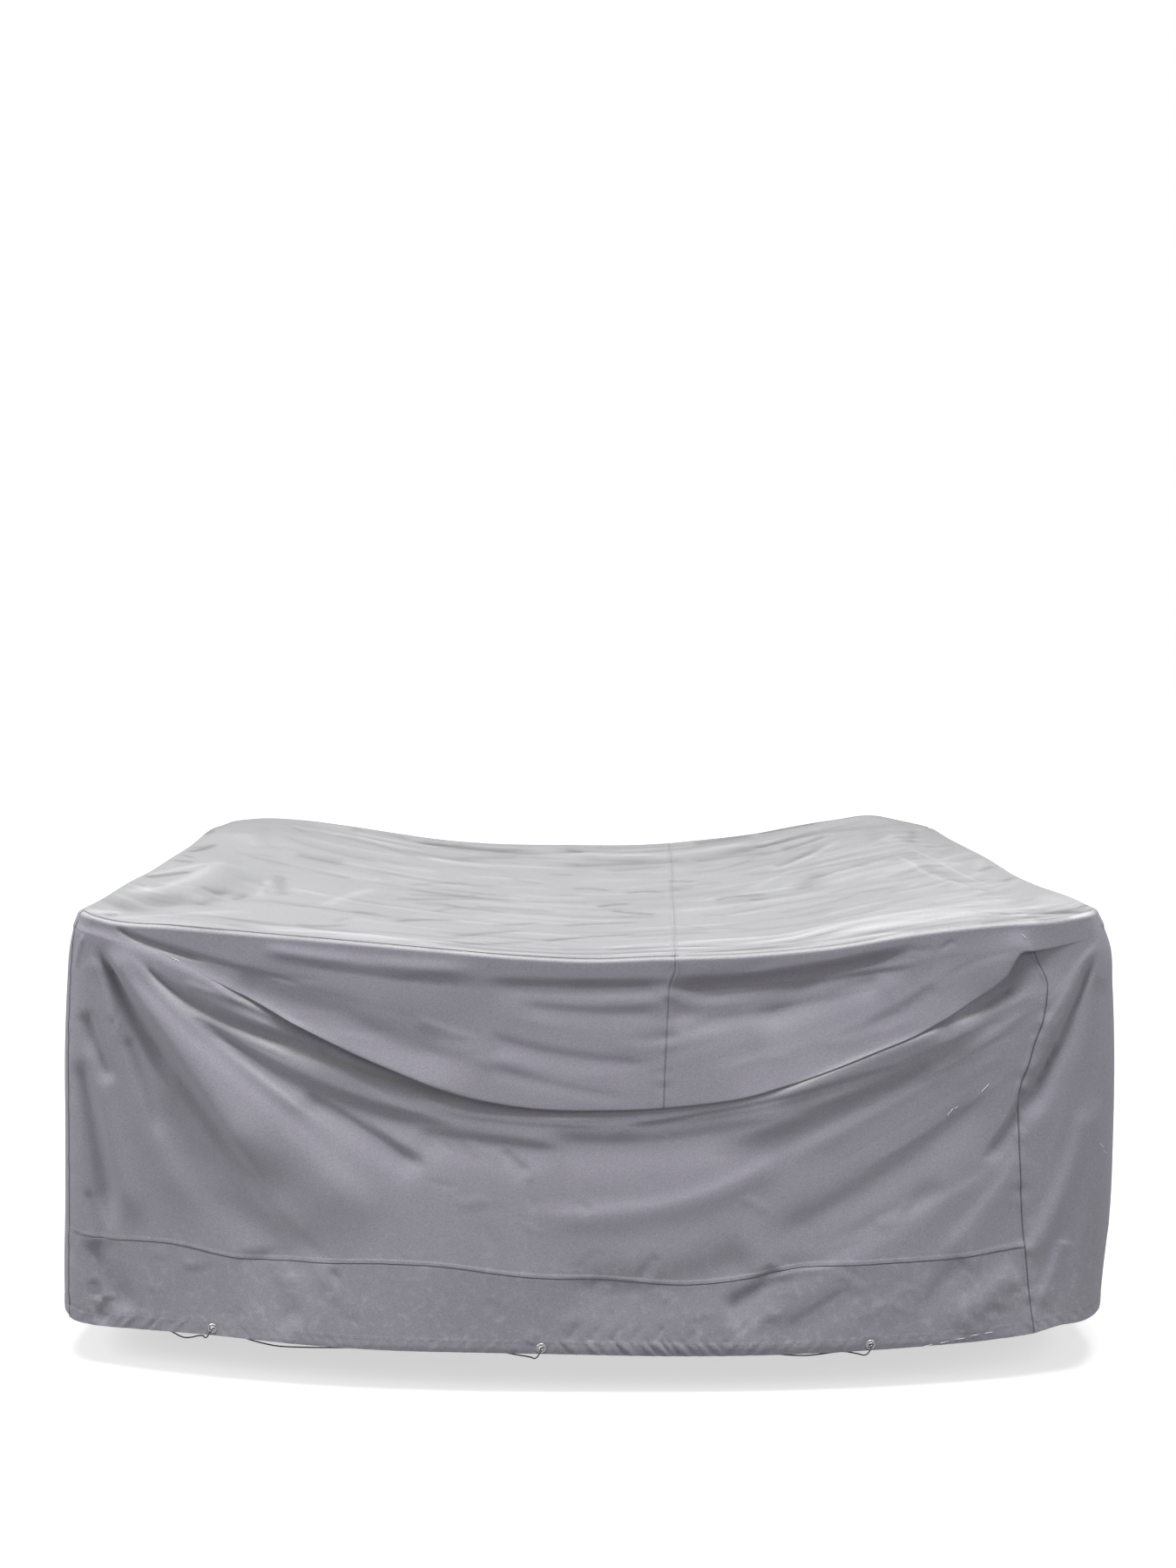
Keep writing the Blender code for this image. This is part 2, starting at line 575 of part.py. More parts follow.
def panel_of(column, row):
    """Which panel the wall's cell right of a column and below a row belongs to."""
    if row < SEAM_ROW:
        mirrored = LEFT_START - CENTRE_COLUMN
        return "top_right" if CENTRE_COLUMN <= column < mirrored else "top_left"
    if column < CORNER_SEAM_COLUMN:
        return "front_skirt" if row < BAND_ROW else "front_band"
    if column < BACK_START:
        return "side_right"
    if column < LEFT_START:
        return "back_skirt" if row < BAND_ROW else "back_band"
    return "side_left"


def cloth_surface():
    """All the faces: fine rows at the front, coarse ones elsewhere, and joining strips between."""
    whole = Surface()
    columns = list(range(BACK_START)) + list(range(BACK_START, LEFT_START, 2))
    columns += list(range(LEFT_START, LOOP + 1))
    fine = set(range(RIGHT_START + 1)) | {LOOP}
    for here, there in zip(columns, columns[1:]):
        for low, high in zip(COARSE_ROWS, COARSE_ROWS[1:]):
            panel = panel_of(here, low)
            if here in fine and there in fine:
                for r in range(low, high):
                    corners = [(here, r), (here, r + 1), (there, r + 1), (there, r)]
                    whole.face(panel, [wall_key(*c) for c in corners])
            elif here in fine or there in fine:
                left = range(low, high + 1) if here in fine else (low, high)
                right = range(low, high + 1) if there in fine else (low, high)
                whole.strip(panel, [wall_key(here, r) for r in left][::-1],
                            [wall_key(there, r) for r in right][::-1])
            else:
                corners = [(here, low), (here, high), (there, high), (there, low)]
                whole.face(panel, [wall_key(*c) for c in corners])
    for j in range(SIDE_SPANS):
        for i in range(0, FRONT_SPANS, 2):
            panel = "top_left" if i < CENTRE_COLUMN else "top_right"
            near = [top_key(i + k, j) for k in range(3)]
            if j == SIDE_SPANS - 1:
                far = [top_key(i, j + 1), top_key(i + 2, j + 1)]
                whole.strip(panel, far, near)
            else:
                far = [top_key(i + k, j + 1) for k in range(3)]
                for k in range(2):
                    whole.face(panel, [near[k], near[k + 1], far[k + 1], far[k]])
    return whole


def face_normal(points, face):
    """The normal of a face from its diagonals, times its size."""
    p = points[face]
    if len(face) == 3:
        return np.cross(p[1] - p[0], p[2] - p[0])
    return np.cross(p[2] - p[0], p[3] - p[1])


def unit(v):
    return v / np.maximum(np.linalg.norm(v, axis=-1, keepdims=True), 1e-12)


def halves(face):
    """A face as triangles, always split from its first corner, so that both skins split the same way."""
    return [face] if len(face) == 3 else [face[:3], [face[0], face[2], face[3]]]


def mitres(points, faces):
    """Each point's outward direction, long enough to keep the cloth's thickness round a corner."""
    total = np.zeros_like(points)
    normals = [unit(face_normal(points, f)) for f in faces]
    for face, normal in zip(faces, normals):
        for k, v in enumerate(face):
            before = points[face[k - 1]] - points[v]
            after = points[face[(k + 1) % len(face)]] - points[v]
            angle = math.acos(float(np.clip(unit(before) @ unit(after), -1, 1)))
            total[v] += angle * normal
    total = unit(total)
    least = np.ones(len(points))
    for face, normal in zip(faces, normals):
        for v in face:
            least[v] = min(least[v], float(total[v] @ normal))
    return total / np.maximum(least, 0.6)[:, None]


class Seat:
    """A flat cell of the hem with an eyelet's hole in it."""

    def __init__(self, whole, points, name, column, spans):
        self.name, self.column = name, column + spans / 2
        keys = [(column, STITCH_ROW), (column, HEM_ROW), (column + spans, HEM_ROW)]
        keys.append((column + spans, STITCH_ROW))
        self.face = [whole.keys[wall_key(*k)] for k in keys]
        self.normal = unit(face_normal(points, self.face))
        self.middle = points[self.face].mean(axis=0)
        away = (points[self.face] - self.middle) @ self.normal
        points[self.face] -= away[:, None] * self.normal
        lower = points[self.face[2]] - points[self.face[1]]
        self.along = unit(lower - (lower @ self.normal) * self.normal)
        self.up = np.cross(self.normal, self.along) * -1
        if self.up[2] < 0:
            self.up = -self.up

    def place(self, along, out, up):
        return self.middle + along * self.along + out * self.normal + up * self.up

    def ring(self, radius, out, sides):
        turn = np.arange(sides) * 2 * math.pi / sides + math.pi / sides
        return [self.place(radius * math.cos(a), out, radius * math.sin(a)) for a in turn]


def add_mesh(name, points, faces, material, smooth):
    mesh = bpy.data.meshes.new(name)
    mesh.from_pydata([tuple(float(c) for c in p) for p in points], [], faces)
    mesh.polygons.foreach_set("use_smooth", [smooth] * len(mesh.polygons))
    mesh.materials.append(material)
    mesh.update()
    bpy.context.scene.collection.objects.link(bpy.data.objects.new(name, mesh))


def material(name, colour, metallic, roughness):
    made = bpy.data.materials.new(name)
    made.use_nodes = True
    shader = made.node_tree.nodes["Principled BSDF"]
    shader.inputs["Base Color"].default_value = colour
    shader.inputs["Metallic"].default_value = metallic
    shader.inputs["Roughness"].default_value = roughness
    return made


def add_panel(name, points, outward, faces, seats, shared, cloth):
    """One panel as a closed solid: its outer faces, the same ones moved in, and a rim."""
    used = sorted({v for f in faces for v in f})
    index = {v: k for k, v in enumerate(used)}
    outer = points[used].copy()
    edges = {}
    for f in faces:
        for k, v in enumerate(f):
            edges[(v, f[(k + 1) % len(f)])] = f
    rim = [(a, b) for (a, b) in edges if (b, a) not in edges]
    pull = np.zeros((len(points), 3))
    for a, b in rim:
        if a in shared and b in shared:
            inward = unit(np.cross(unit(outward[a] + outward[b]), unit(points[b] - points[a])))
            pull[a] += inward
            pull[b] += inward
    moved = unit(pull[used]) * (np.linalg.norm(pull[used], axis=1) > 0.5)[:, None]
    outer += moved * SEAM_GAP / 2
    inner = outer - CLOTH * outward[used]
    verts = list(outer) + list(inner)
    n = len(used)
    made = []
    seat_of = {tuple(s.face): s for s in seats}
    for f in faces:
        local = [index[v] for v in f]
        seat = seat_of.get(tuple(f))
        if seat is None:
            for half in halves(local):
                made.append(half)
                made.append([v + n for v in half][::-1])
            continue
        front = len(verts)
        verts += seat.ring(HOLE_RADIUS, 0.0, HOLE_SIDES)
        verts += seat.ring(HOLE_RADIUS, -CLOTH, HOLE_SIDES)
        turn = np.arange(HOLE_SIDES) * 2 * math.pi / HOLE_SIDES + math.pi / HOLE_SIDES
        spread = points[f] - seat.middle
        quarter = [(c @ seat.along > 0, c @ seat.up > 0) for c in spread]
        owner = [quarter.index((math.cos(a) > 0, math.sin(a) > 0)) for a in turn]
        clockwise = np.cross(seat.along, seat.up) @ seat.normal < 0
        for k in range(HOLE_SIDES):
            nxt = (k + 1) % HOLE_SIDES
            a, b = front + k, front + nxt
            corner, other = local[owner[k]], local[owner[nxt]]
            pieces = [[a, corner, b]]
            if corner != other:
                pieces.append([b, corner, other])
            for p in pieces:
                if clockwise:
                    p = p[::-1]
                made.append(p)
                made.append([v + n if v < n else v + HOLE_SIDES for v in p][::-1])
            wall_face = [a, b, b + HOLE_SIDES, a + HOLE_SIDES]
            made.append(wall_face[::-1] if clockwise else wall_face)
    for a, b in rim:
        made.append([index[b], index[a], index[a] + n, index[b] + n])
    add_mesh(name, verts, made, cloth, True)


def add_eyelet(seat, metal):
    """A ring round the hole with a flange on each side of the cloth."""
    rings = [seat.ring(radius, out, EYELET_SIDES) for radius, out in EYELET_SECTION]
    verts = [p for ring in rings for p in ring]
    made = []
    clockwise = np.cross(seat.along, seat.up) @ seat.normal < 0
    for k in range(len(rings)):
        here, there = k * EYELET_SIDES, (k + 1) % len(rings) * EYELET_SIDES
        for m in range(EYELET_SIDES):
            n = (m + 1) % EYELET_SIDES
            quad = [here + m, here + n, there + n, there + m]
            made.append(quad if clockwise else quad[::-1])
    add_mesh(seat.name, verts, made, metal, True)


def add_cord(points, colour):
    """A round cord along a line of points."""
    curve = bpy.data.curves.new("drawcord", "CURVE")
    curve.dimensions = "3D"
    curve.bevel_depth = CORD_RADIUS
    curve.bevel_resolution = 2
    curve.use_fill_caps = True
    spline = curve.splines.new("POLY")
    spline.points.add(len(points) - 1)
    for target, p in zip(spline.points, points):
        target.co = (*[float(c) for c in p], 1.0)
    curve.materials.append(colour)
    bpy.context.scene.collection.objects.link(bpy.data.objects.new("drawcord", curve))


def beside(column, inward, below):
    """A place inside the hem at a loop column, so far in and below the hem's edge."""
    here = wall(column, HEM_ROW)
    _, _, nx, ny = outline(np.asarray(column, float), np.asarray(here[2]))
    return np.array([here[0] - nx * inward, here[1] - ny * inward, here[2] - below])


def cord_points(seats):
    """The cord's line: once round the hem, from the back's middle eyelet to the same one again."""
    start = CORD_ROUTE[0][0]
    stops = [(column, [beside(column, inward, below)]) for column, inward, below in CORD_ROUTE]
    for seat in seats:
        column = seat.column if seat.column > start else seat.column + LOOP
        stops.append((column, [seat.place(*p) for p in THREADING]))
    return [p for _, some in sorted(stops, key=lambda stop: stop[0]) for p in some]


def build():
    cloth = material("coated_cloth", CLOTH_COLOUR, 0.0, 0.55)
    metal = material("eyelet_metal", METAL_COLOUR, 1.0, 0.35)
    yarn = material("cord_yarn", CORD_COLOUR, 0.0, 0.8)
    whole = cloth_surface()
    points = whole.points()
    seats = [Seat(whole, points, *row) for row in EYELETS]
    outward = mitres(points, whole.faces)
    for seat in seats:
        outward[seat.face] = seat.normal
    owners = {}
    for f, panel in zip(whole.faces, whole.panels):
        for v in f:
            owners.setdefault(v, set()).add(panel)
    shared = {v for v, panels in owners.items() if len(panels) > 1}
    for name in dict.fromkeys(whole.panels):
        faces = [f for f, panel in zip(whole.faces, whole.panels) if panel == name]
        mine = [s for s in seats if s.face in faces]
        add_panel(name, points, outward, faces, mine, shared, cloth)
    for seat in seats:
        add_eyelet(seat, metal)
    add_cord(cord_points(seats), yarn)


build()
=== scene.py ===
"""Looks of a fitted cover for a garden table and chairs.

The cloth is one surface, worked out on a loop of columns (front, right, back, left) and rows (top edge to
hem), as in the part's source, but much finer. It is cut into panels along its seams. Each panel is a thin
closed sheet. The seams have their laps, puckers and stitches, the hem has its eyelets, and a cord runs
through them.
"""

from __future__ import annotations

import logging
import math
from dataclasses import dataclass, field
from enum import Enum

import bpy
import numpy as np
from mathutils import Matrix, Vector


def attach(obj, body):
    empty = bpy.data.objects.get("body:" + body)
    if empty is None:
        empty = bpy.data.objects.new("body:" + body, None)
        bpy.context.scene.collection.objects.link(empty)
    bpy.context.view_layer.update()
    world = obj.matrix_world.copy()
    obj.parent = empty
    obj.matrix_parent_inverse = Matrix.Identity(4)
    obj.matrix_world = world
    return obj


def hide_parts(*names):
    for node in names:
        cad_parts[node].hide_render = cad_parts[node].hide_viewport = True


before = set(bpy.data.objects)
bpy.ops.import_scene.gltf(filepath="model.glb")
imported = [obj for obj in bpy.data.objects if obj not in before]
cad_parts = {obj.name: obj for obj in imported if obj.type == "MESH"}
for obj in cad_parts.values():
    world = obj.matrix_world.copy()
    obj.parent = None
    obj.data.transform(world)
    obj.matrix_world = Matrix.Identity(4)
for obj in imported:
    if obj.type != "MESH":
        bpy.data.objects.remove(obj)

Array = np.ndarray
Rows = tuple[tuple[float, ...], ...]
log = logging.getLogger("garden_cover")

# Columns round the loop, counted from the front left corner, and rows from the top edge down.
FRONT_SPANS, SIDE_SPANS, ARC_SPANS = 56, 16, 2
LOOP = 2 * (FRONT_SPANS + SIDE_SPANS)
RIGHT_START, BACK_START, LEFT_START = 56, 72, 128
CENTRE_COLUMN, CORNER_SEAM_COLUMN = 32, 51
ROLL_END, FOLD_ROW, SEAM_ROW, BAND_ROW, STITCH_ROW, HEM_ROW = 2, 5, 6, 14, 16, 17
# Points on a fold's line, the parts of it over which the fold rises and fades, and how far off the line its
# crest lies where the line was read on its flank, over its width.
FOLD_STEPS, FADE_IN, FADE_OUT, FLANK = 33, 0.15, 0.2, 0.7

# (x, spans to the next row) along the front
COLUMNS: Rows = (
    (-1.080, 6), (-0.835, 1), (-0.801, 16), (-0.116, 1), (-0.082, 6), (0.168, 10), (0.593, 1), (0.627, 8),
    (0.965, 3), (1.065, 0),
)
# (height, left half width, right half width, corner radius) of the walls
WALLS: Rows = (
    (-0.80, 1.198, 1.168, 0.105), (-0.67, 1.195, 1.176, 0.100), (-0.57, 1.189, 1.184, 0.095),
    (-0.37, 1.180, 1.185, 0.085), (-0.17, 1.172, 1.179, 0.075), (-0.03, 1.161, 1.169, 0.068),
    (0.06, 1.149, 1.158, 0.058), (0.10, 1.137, 1.141, 0.048), (0.16, 1.114, 1.112, 0.034),
)
# (x, height) of the front top edge
FRONT_EDGE: Rows = (
    (-1.12, 0.142), (-1.045, 0.121), (-0.90, 0.109), (-0.71, 0.093), (-0.52, 0.077), (-0.33, 0.060),
    (-0.14, 0.044), (0.00, 0.038), (0.14, 0.043), (0.33, 0.049), (0.52, 0.066), (0.71, 0.096),
    (0.90, 0.115), (1.03, 0.124), (1.12, 0.144),
)
# (x, height) of the back top edge
BACK_EDGE: Rows = (
    (-1.16, 0.141), (-1.07, 0.149), (-0.94, 0.143), (-0.785, 0.123), (-0.64, 0.100), (-0.50, 0.079),
    (-0.33, 0.063), (-0.14, 0.059), (0.07, 0.059), (0.27, 0.074), (0.50, 0.097), (0.64, 0.119),
    (0.80, 0.142), (0.94, 0.158), (1.04, 0.138), (1.12, 0.120),
)
# (y, height) of the left and the right top edge
LEFT_EDGE: Rows = (
    (-0.80, 0.142), (-0.62, 0.136), (-0.40, 0.139), (-0.20, 0.134), (0.00, 0.138), (0.23, 0.142),
    (0.42, 0.159), (0.62, 0.150), (0.80, 0.141),
)
RIGHT_EDGE: Rows = (
    (-0.80, 0.144), (-0.60, 0.138), (-0.31, 0.117), (-0.08, 0.110), (0.10, 0.117), (0.38, 0.115),
    (0.60, 0.113), (0.80, 0.119),
)
# (x, height, how far it stands out, how far the cloth tucks in behind it) of the apron's lower fold
FOLD_LINE: Rows = (
    (-1.120, 0.100, 0.0000, 0.0000), (-1.069, 0.118, 0.0000, 0.0000), (-0.993, 0.088, 0.0000, 0.0000),
    (-0.897, 0.045, 0.0000, 0.0000), (-0.802, -0.008, 0.0010, 0.0000), (-0.707, -0.058, 0.0060, 0.0040),
    (-0.612, -0.108, 0.0140, 0.0110), (-0.517, -0.154, 0.0190, 0.0160), (-0.422, -0.195, 0.0180, 0.0140),
    (-0.328, -0.232, 0.0140, 0.0100), (-0.140, -0.274, 0.0080, 0.0040), (0.047, -0.281, 0.0050, 0.0015),
    (0.165, -0.277, 0.0040, 0.0010), (0.328, -0.255, 0.0035, 0.0010), (0.422, -0.226, 0.0035, 0.0010),
    (0.516, -0.192, 0.0035, 0.0010), (0.611, -0.154, 0.0040, 0.0010), (0.706, -0.115, 0.0040, 0.0020),
    (0.801, -0.062, 0.0060, 0.0050), (0.897, 0.006, 0.0100, 0.0120), (0.950, 0.056, 0.0090, 0.0110),
    (0.985, 0.058, 0.0020, 0.0080), (1.068, 0.081, 0.0000, 0.0000), (1.120, 0.100, 0.0000, 0.0000),
)
# (x, height) of the seam above the bottom band
BAND_SEAM: Rows = (
    (-1.150, -0.580), (-1.120, -0.585), (-0.907, -0.589), (-0.749, -0.613), (-0.613, -0.614),
    (-0.422, -0.611), (-0.328, -0.614), (-0.140, -0.634), (0.047, -0.643), (0.234, -0.654),
    (0.327, -0.645), (0.422, -0.624), (0.611, -0.614), (0.804, -0.608), (0.958, -0.594), (1.120, -0.580),
)
# (x, height) of the front hem
HEM: Rows = (
    (-1.15, -0.780), (-1.09, -0.789), (-1.00, -0.785), (-0.82, -0.780), (-0.61, -0.786), (-0.42, -0.790),
    (-0.23, -0.790), (-0.05, -0.792), (0.14, -0.796), (0.33, -0.797), (0.52, -0.795), (0.71, -0.791),
    (0.90, -0.785), (0.98, -0.780), (1.05, -0.7695), (1.12, -0.7680),
)
# (height, x) of the seam between the two top panels, where it runs down the apron
CENTRE_SEAM: Rows = (
    (-0.278, 0.164), (-0.217, 0.166), (-0.143, 0.170), (-0.068, 0.174), (-0.022, 0.177), (0.015, 0.189),
    (0.043, 0.189),
)
# (height, x) of the seam where the right wall is pulled round onto the front
CORNER_SEAM: Rows = (
    (-0.780, 0.977), (-0.703, 0.967), (-0.607, 0.958), (-0.549, 0.952), (-0.435, 0.947), (-0.320, 0.944),
    (-0.244, 0.946), (-0.188, 0.966), (-0.150, 0.976), (-0.103, 0.993), (-0.055, 1.002), (-0.013, 1.003),
    (0.036, 0.981), (0.080, 0.965),
)


class Mark(Enum):
    """Which line of a fold its points follow."""

    CREST = "its highest or deepest line"
    LIT = "the flank that faces up"
    SHADE = "the flank that faces down"


CREST, LIT, SHADE = Mark.CREST, Mark.LIT, Mark.SHADE
# Folds of the front: a curve through three points (x, height) and its width at each end, in millimetres, its
# height over its width (minus goes in), how much steeper its lower side is, and which line the points follow.
FRONT_FOLDS = (
    # name, x0, z0, x1, z1, x2, z2, width0, width1, steep, lean, mark
    ("edge roll left", -668, 33, -413, 5, -162, -16, 10, 20, -0.04, -0.59, SHADE),
    ("edge roll middle", -241, -7, 1, -14, 177, -12, 25, 19, -0.21, -0.60, SHADE),
    ("edge roll right", 160, -17, 437, 9, 721, 68, 21, 18, -0.74, -0.47, SHADE),
    ("edge crease", -1028, 97, -879, 54, -647, -17, 16, 27, -0.17, -0.60, SHADE),
    ("lower roll right", 202, -45, 465, -13, 726, 28, 9, 21, -0.40, -0.58, SHADE),
    ("apron band left", -781, 9, -540, -58, -213, -154, 38, 63, -0.24, -0.08, SHADE),
    ("apron band middle", -158, -54, 10, -69, 180, -65, 13, 24, -0.19, -0.43, SHADE),
    ("apron band right", 154, -51, 340, -56, 525, 23, 31, 30, -0.31, -0.12, SHADE),
    ("apron dish", -216, -116, -61, -159, 172, -181, 20, 21, -0.15, -0.44, SHADE),
    ("apron low dish", -218, -176, -67, -225, 103, -255, 17, 7, -0.13, -0.21, SHADE),
    ("apron wedge", -373, -79, -305, -108, -239, -126, 14, 7, 0.15, -0.46, LIT),
    ("apron streak", 751, -11, 690, -57, 589, -102, 16, 18, -0.13, -0.40, SHADE),
    ("apron streak low", 647, 3, 504, -38, 343, -86, 24, 32, -0.31, -0.30, SHADE),
    ("corner ridge", -1154, 116, -855, 11, -463, -206, 22, 47, 0.18, -0.51, LIT),
    ("under the fold", -968, 33, -798, -85, -490, -172, 4, 23, -0.85, -0.22, SHADE),
    ("loose lip", -878, -6, -809, -29, -701, -68, 10, 6, 0.22, -0.29, LIT),
    ("second swag", -877, -65, -667, -146, -354, -224, 7, 23, 0.04, -0.60, LIT),
    ("swag crease left", -715, -120, -544, -190, -358, -288, 12, 6, -0.23, 0.33, SHADE),
    ("swag crease middle", -330, -291, -149, -313, 93, -322, 5, 6, -0.10, -0.31, SHADE),
    ("swag crease right", 68, -319, 356, -272, 756, -162, 12, 21, -0.27, -0.58, SHADE),
    ("swag line right", 785, -100, 598, -168, 373, -262, 15, 16, 0.39, -0.51, LIT),
    ("swag hollow left", -865, -77, -605, -230, -271, -323, 15, 35, -0.44, -0.58, SHADE),
    ("swag hollow middle", -385, -327, -211, -347, -47, -368, 35, 24, -0.25, -0.44, SHADE),
    ("swag hollow right", -100, -336, 182, -336, 473, -270, 38, 43, -0.21, -0.38, SHADE),
    ("crisp ridge", -1003, 57, -832, -120, -530, -347, 7, 14, 0.37, -0.46, LIT),
    ("fan swell", -1041, 75, -879, -122, -634, -447, 18, 48, 0.55, 0.32, LIT),
    ("steep hollow", -1064, 60, -923, -170, -691, -456, 17, 19, -0.72, -0.48, SHADE),
    ("steep hollow wide", -918, -233, -750, -468, -531, -599, 28, 60, -0.21, -0.24, SHADE),
    ("steep ridge", -1076, 93, -983, -226, -827, -540, 19, 40, 0.20, -0.30, LIT),
    ("steep line", -1007, -127, -964, -231, -924, -361, 12, 14, -0.48, -0.03, SHADE),
    ("fan line", -1082, 49, -1040, -44, -1041, -155, 16, 6, 0.32, -0.34, LIT),
    ("corner dent", -1094, -75, -1072, -153, -1034, -236, 15, 18, -0.62, -0.20, SHADE),
    ("second hollow", -1114, -183, -1074, -347, -1034, -578, 18, 26, -0.72, -0.20, SHADE),
    ("second ridge", -1080, -130, -1036, -330, -972, -560, 18, 30, 0.34, 0.00, LIT),
    ("second hollow low", -1106, -479, -1083, -537, -1061, -608, 9, 14, -0.55, 0.00, SHADE),
    ("short fold", -620, -243, -482, -327, -337, -409, 23, 28, -0.41, -0.48, SHADE),
    ("curved dent", -177, -367, -153, -394, -122, -411, 12, 19, -0.21, -0.41, SHADE),
    ("middle dent left", -120, -429, -128, -469, -106, -495, 10, 11, -0.15, 0.05, CREST),
    ("middle dent", -54, -454, -51, -480, -44, -496, 7, 14, -0.04, -0.20, CREST),
    ("middle dent right", -19, -475, -5, -483, 11, -498, 8, 12, -0.15, -0.55, SHADE),
    ("long crest", 986, -49, 738, -212, 388, -397, 9, 22, 0.14, -0.17, LIT),
    ("crest tail", 421, -366, 176, -470, -149, -489, 26, 29, 0.18, -0.24, LIT),
    ("upper hollow", 748, -181, 597, -247, 376, -288, 26, 45, -0.13, -0.43, SHADE),
    ("under the right fold", 909, -85, 790, -137, 664, -185, 10, 21, -0.11, -0.60, SHADE),
    ("right fold swell", 980, -21, 881, -73, 765, -108, 16, 15, 0.17, -0.54, LIT),
    ("wide hollow end", 352, -559, 165, -628, -78, -615, 60, 60, -0.17, -0.16, SHADE),
    ("hollow streak", 774, -427, 586, -540, 362, -634, 22, 34, -0.18, 0.02, SHADE),
    ("streak crest", 618, -520, 661, -511, 699, -467, 14, 12, 0.19, -0.20, LIT),
    ("seam crest", 941, -382, 871, -481, 739, -616, 19, 41, 0.12, -0.50, LIT),
    ("seam hollow", 950, -246, 921, -322, 857, -403, 18, 16, -0.50, -0.60, SHADE),
    ("corner hollow right", 1099, 48, 1039, -113, 937, -315, 6, 24, -0.85, -0.31, SHADE),
    ("corner ridge right", 1111, 80, 1047, -25, 978, -163, 9, 17, 0.23, -0.57, LIT),
    ("outer ridge right", 1050, -153, 1010, -237, 970, -353, 10, 16, 0.09, -0.18, LIT),
    ("side streak", 1075, -284, 1040, -443, 930, -643, 13, 30, 0.28, -0.27, LIT),
    ("side streak low", 1041, -576, 1017, -634, 978, -735, 12, 18, 0.27, -0.48, LIT),
    ("hem dent short", 403, -605, 348, -662, 283, -696, 20, 38, -0.35, -0.35, SHADE),
    ("hem dent middle", 427, -703, 394, -726, 349, -758, 11, 17, -0.12, -0.47, SHADE),
    ("hem hollow middle", 563, -658, 503, -691, 388, -757, 20, 29, -0.13, -0.46, SHADE),
    ("hem hollow right", 817, -600, 763, -652, 705, -722, 22, 20, -0.14, -0.18, SHADE),
    ("low crest right", 938, -628, 862, -672, 771, -749, 32, 39, 0.19, -0.13, LIT),
    ("seam dent", -44, -658, 50, -673, 133, -665, 14, 16, -0.05, 0.40, CREST),
    ("hem hollow left", -1072, -589, -1049, -665, -992, -740, 27, 20, -0.60, -0.00, SHADE),
    ("hem corner dent", -1103, -682, -1080, -727, -1102, -787, 9, 19, -0.55, -0.24, SHADE),
    ("low hollow left", -694, -579, -665, -672, -611, -736, 41, 39, -0.17, -0.11, SHADE),
    ("band dent", -548, -621, -538, -636, -521, -653, 7, 7, -0.14, -0.45, SHADE),
    ("apron swell left", -534, -59, -308, -149, -71, -204, 28, 18, 0.11, 0.22, CREST),
    ("apron swell right", 245, -205, 538, -122, 827, 43, 35, 37, 0.04, -0.60, CREST),
    ("broad swell", -1019, 10, -733, -275, -441, -548, 30, 70, 0.21, -0.27, CREST),
    ("low swell", -855, -409, -630, -586, -488, -744, 35, 15, 0.14, 0.11, CREST),
    ("swag swell right", 886, -81, 574, -232, 264, -357, 56, 66, 0.25, 0.40, CREST),
    ("edge crease start", -1027, 110, -951, 75, -816, 33, 6, 6, -0.72, -0.20, SHADE),
    ("edge roll on", -68, -11, 123, -9, 314, 0, 19, 16, -0.09, -0.60, SHADE),
    ("second crest", 940, -152, 682, -256, 317, -431, 15, 26, 0.04, -0.42, LIT),
    ("wide hollow", 879, -239, 626, -423, 360, -552, 29, 55, -0.16, -0.30, SHADE),
    ("third crest", 886, -414, 689, -512, 419, -606, 19, 38, 0.07, -0.55, LIT),
    ("second swag line", -369, -248, -221, -289, 55, -302, 9, 12, 0.30, -0.41, LIT),
    ("fine fan one", -1095, 83, -1041, -75, -970, -268, 5, 5, 0.20, -0.00, LIT),
    ("fine fan two", -1066, 71, -999, -84, -882, -281, 6, 8, -0.53, 0.14, SHADE),
    ("fine fan three", -1034, 75, -915, -50, -785, -187, 6, 6, 0.08, 0.11, LIT),
    ("fine fan four", -995, 42, -827, -120, -638, -269, 4, 4, -0.04, 0.04, SHADE),
    ("fine fan five", -872, -65, -714, -199, -521, -337, 5, 4, 0.34, -0.08, LIT),
    ("fine fan six", -729, -251, -597, -354, -446, -499, 7, 8, 0.04, 0.04, LIT),
    ("short fold low", -529, -268, -447, -339, -346, -425, 6, 5, -0.13, -0.32, SHADE),
    ("swag fine one", -821, -14, -720, -66, -605, -109, 7, 6, 0.40, 0.10, LIT),
    ("swag fine two", -657, -140, -484, -210, -329, -259, 6, 5, 0.07, 0.09, LIT),
    ("swag fine three", -826, -109, -654, -195, -466, -265, 5, 4, -0.11, -0.05, SHADE),
    ("swag fine four", -329, -269, -140, -300, 85, -311, 5, 3, -0.16, 0.05, SHADE),
    ("swag fine five", 161, -312, 421, -259, 685, -183, 5, 8, 0.26, -0.10, LIT),
    ("crest fine one", 976, -61, 769, -180, 540, -291, 4, 5, 0.04, -0.01, LIT),
    ("crest fine two", 950, -107, 730, -225, 481, -357, 4, 5, -0.12, -0.08, SHADE),
    ("crest fine three", 932, -171, 731, -291, 500, -416, 5, 6, -0.07, 0.13, SHADE),
    ("crest fine four", 923, -208, 770, -310, 573, -417, 6, 7, 0.09, 0.02, LIT),
    ("v ridge one", 1121, 79, 1066, -10, 1003, -96, 3, 5, 0.19, -0.02, LIT),
    ("v ridge two", 1115, 38, 1078, -58, 1012, -162, 5, 5, 0.30, 0.04, LIT),
    ("v ridge three", 1053, 2, 1026, -56, 998, -121, 5, 5, 0.04, 0.01, LIT),
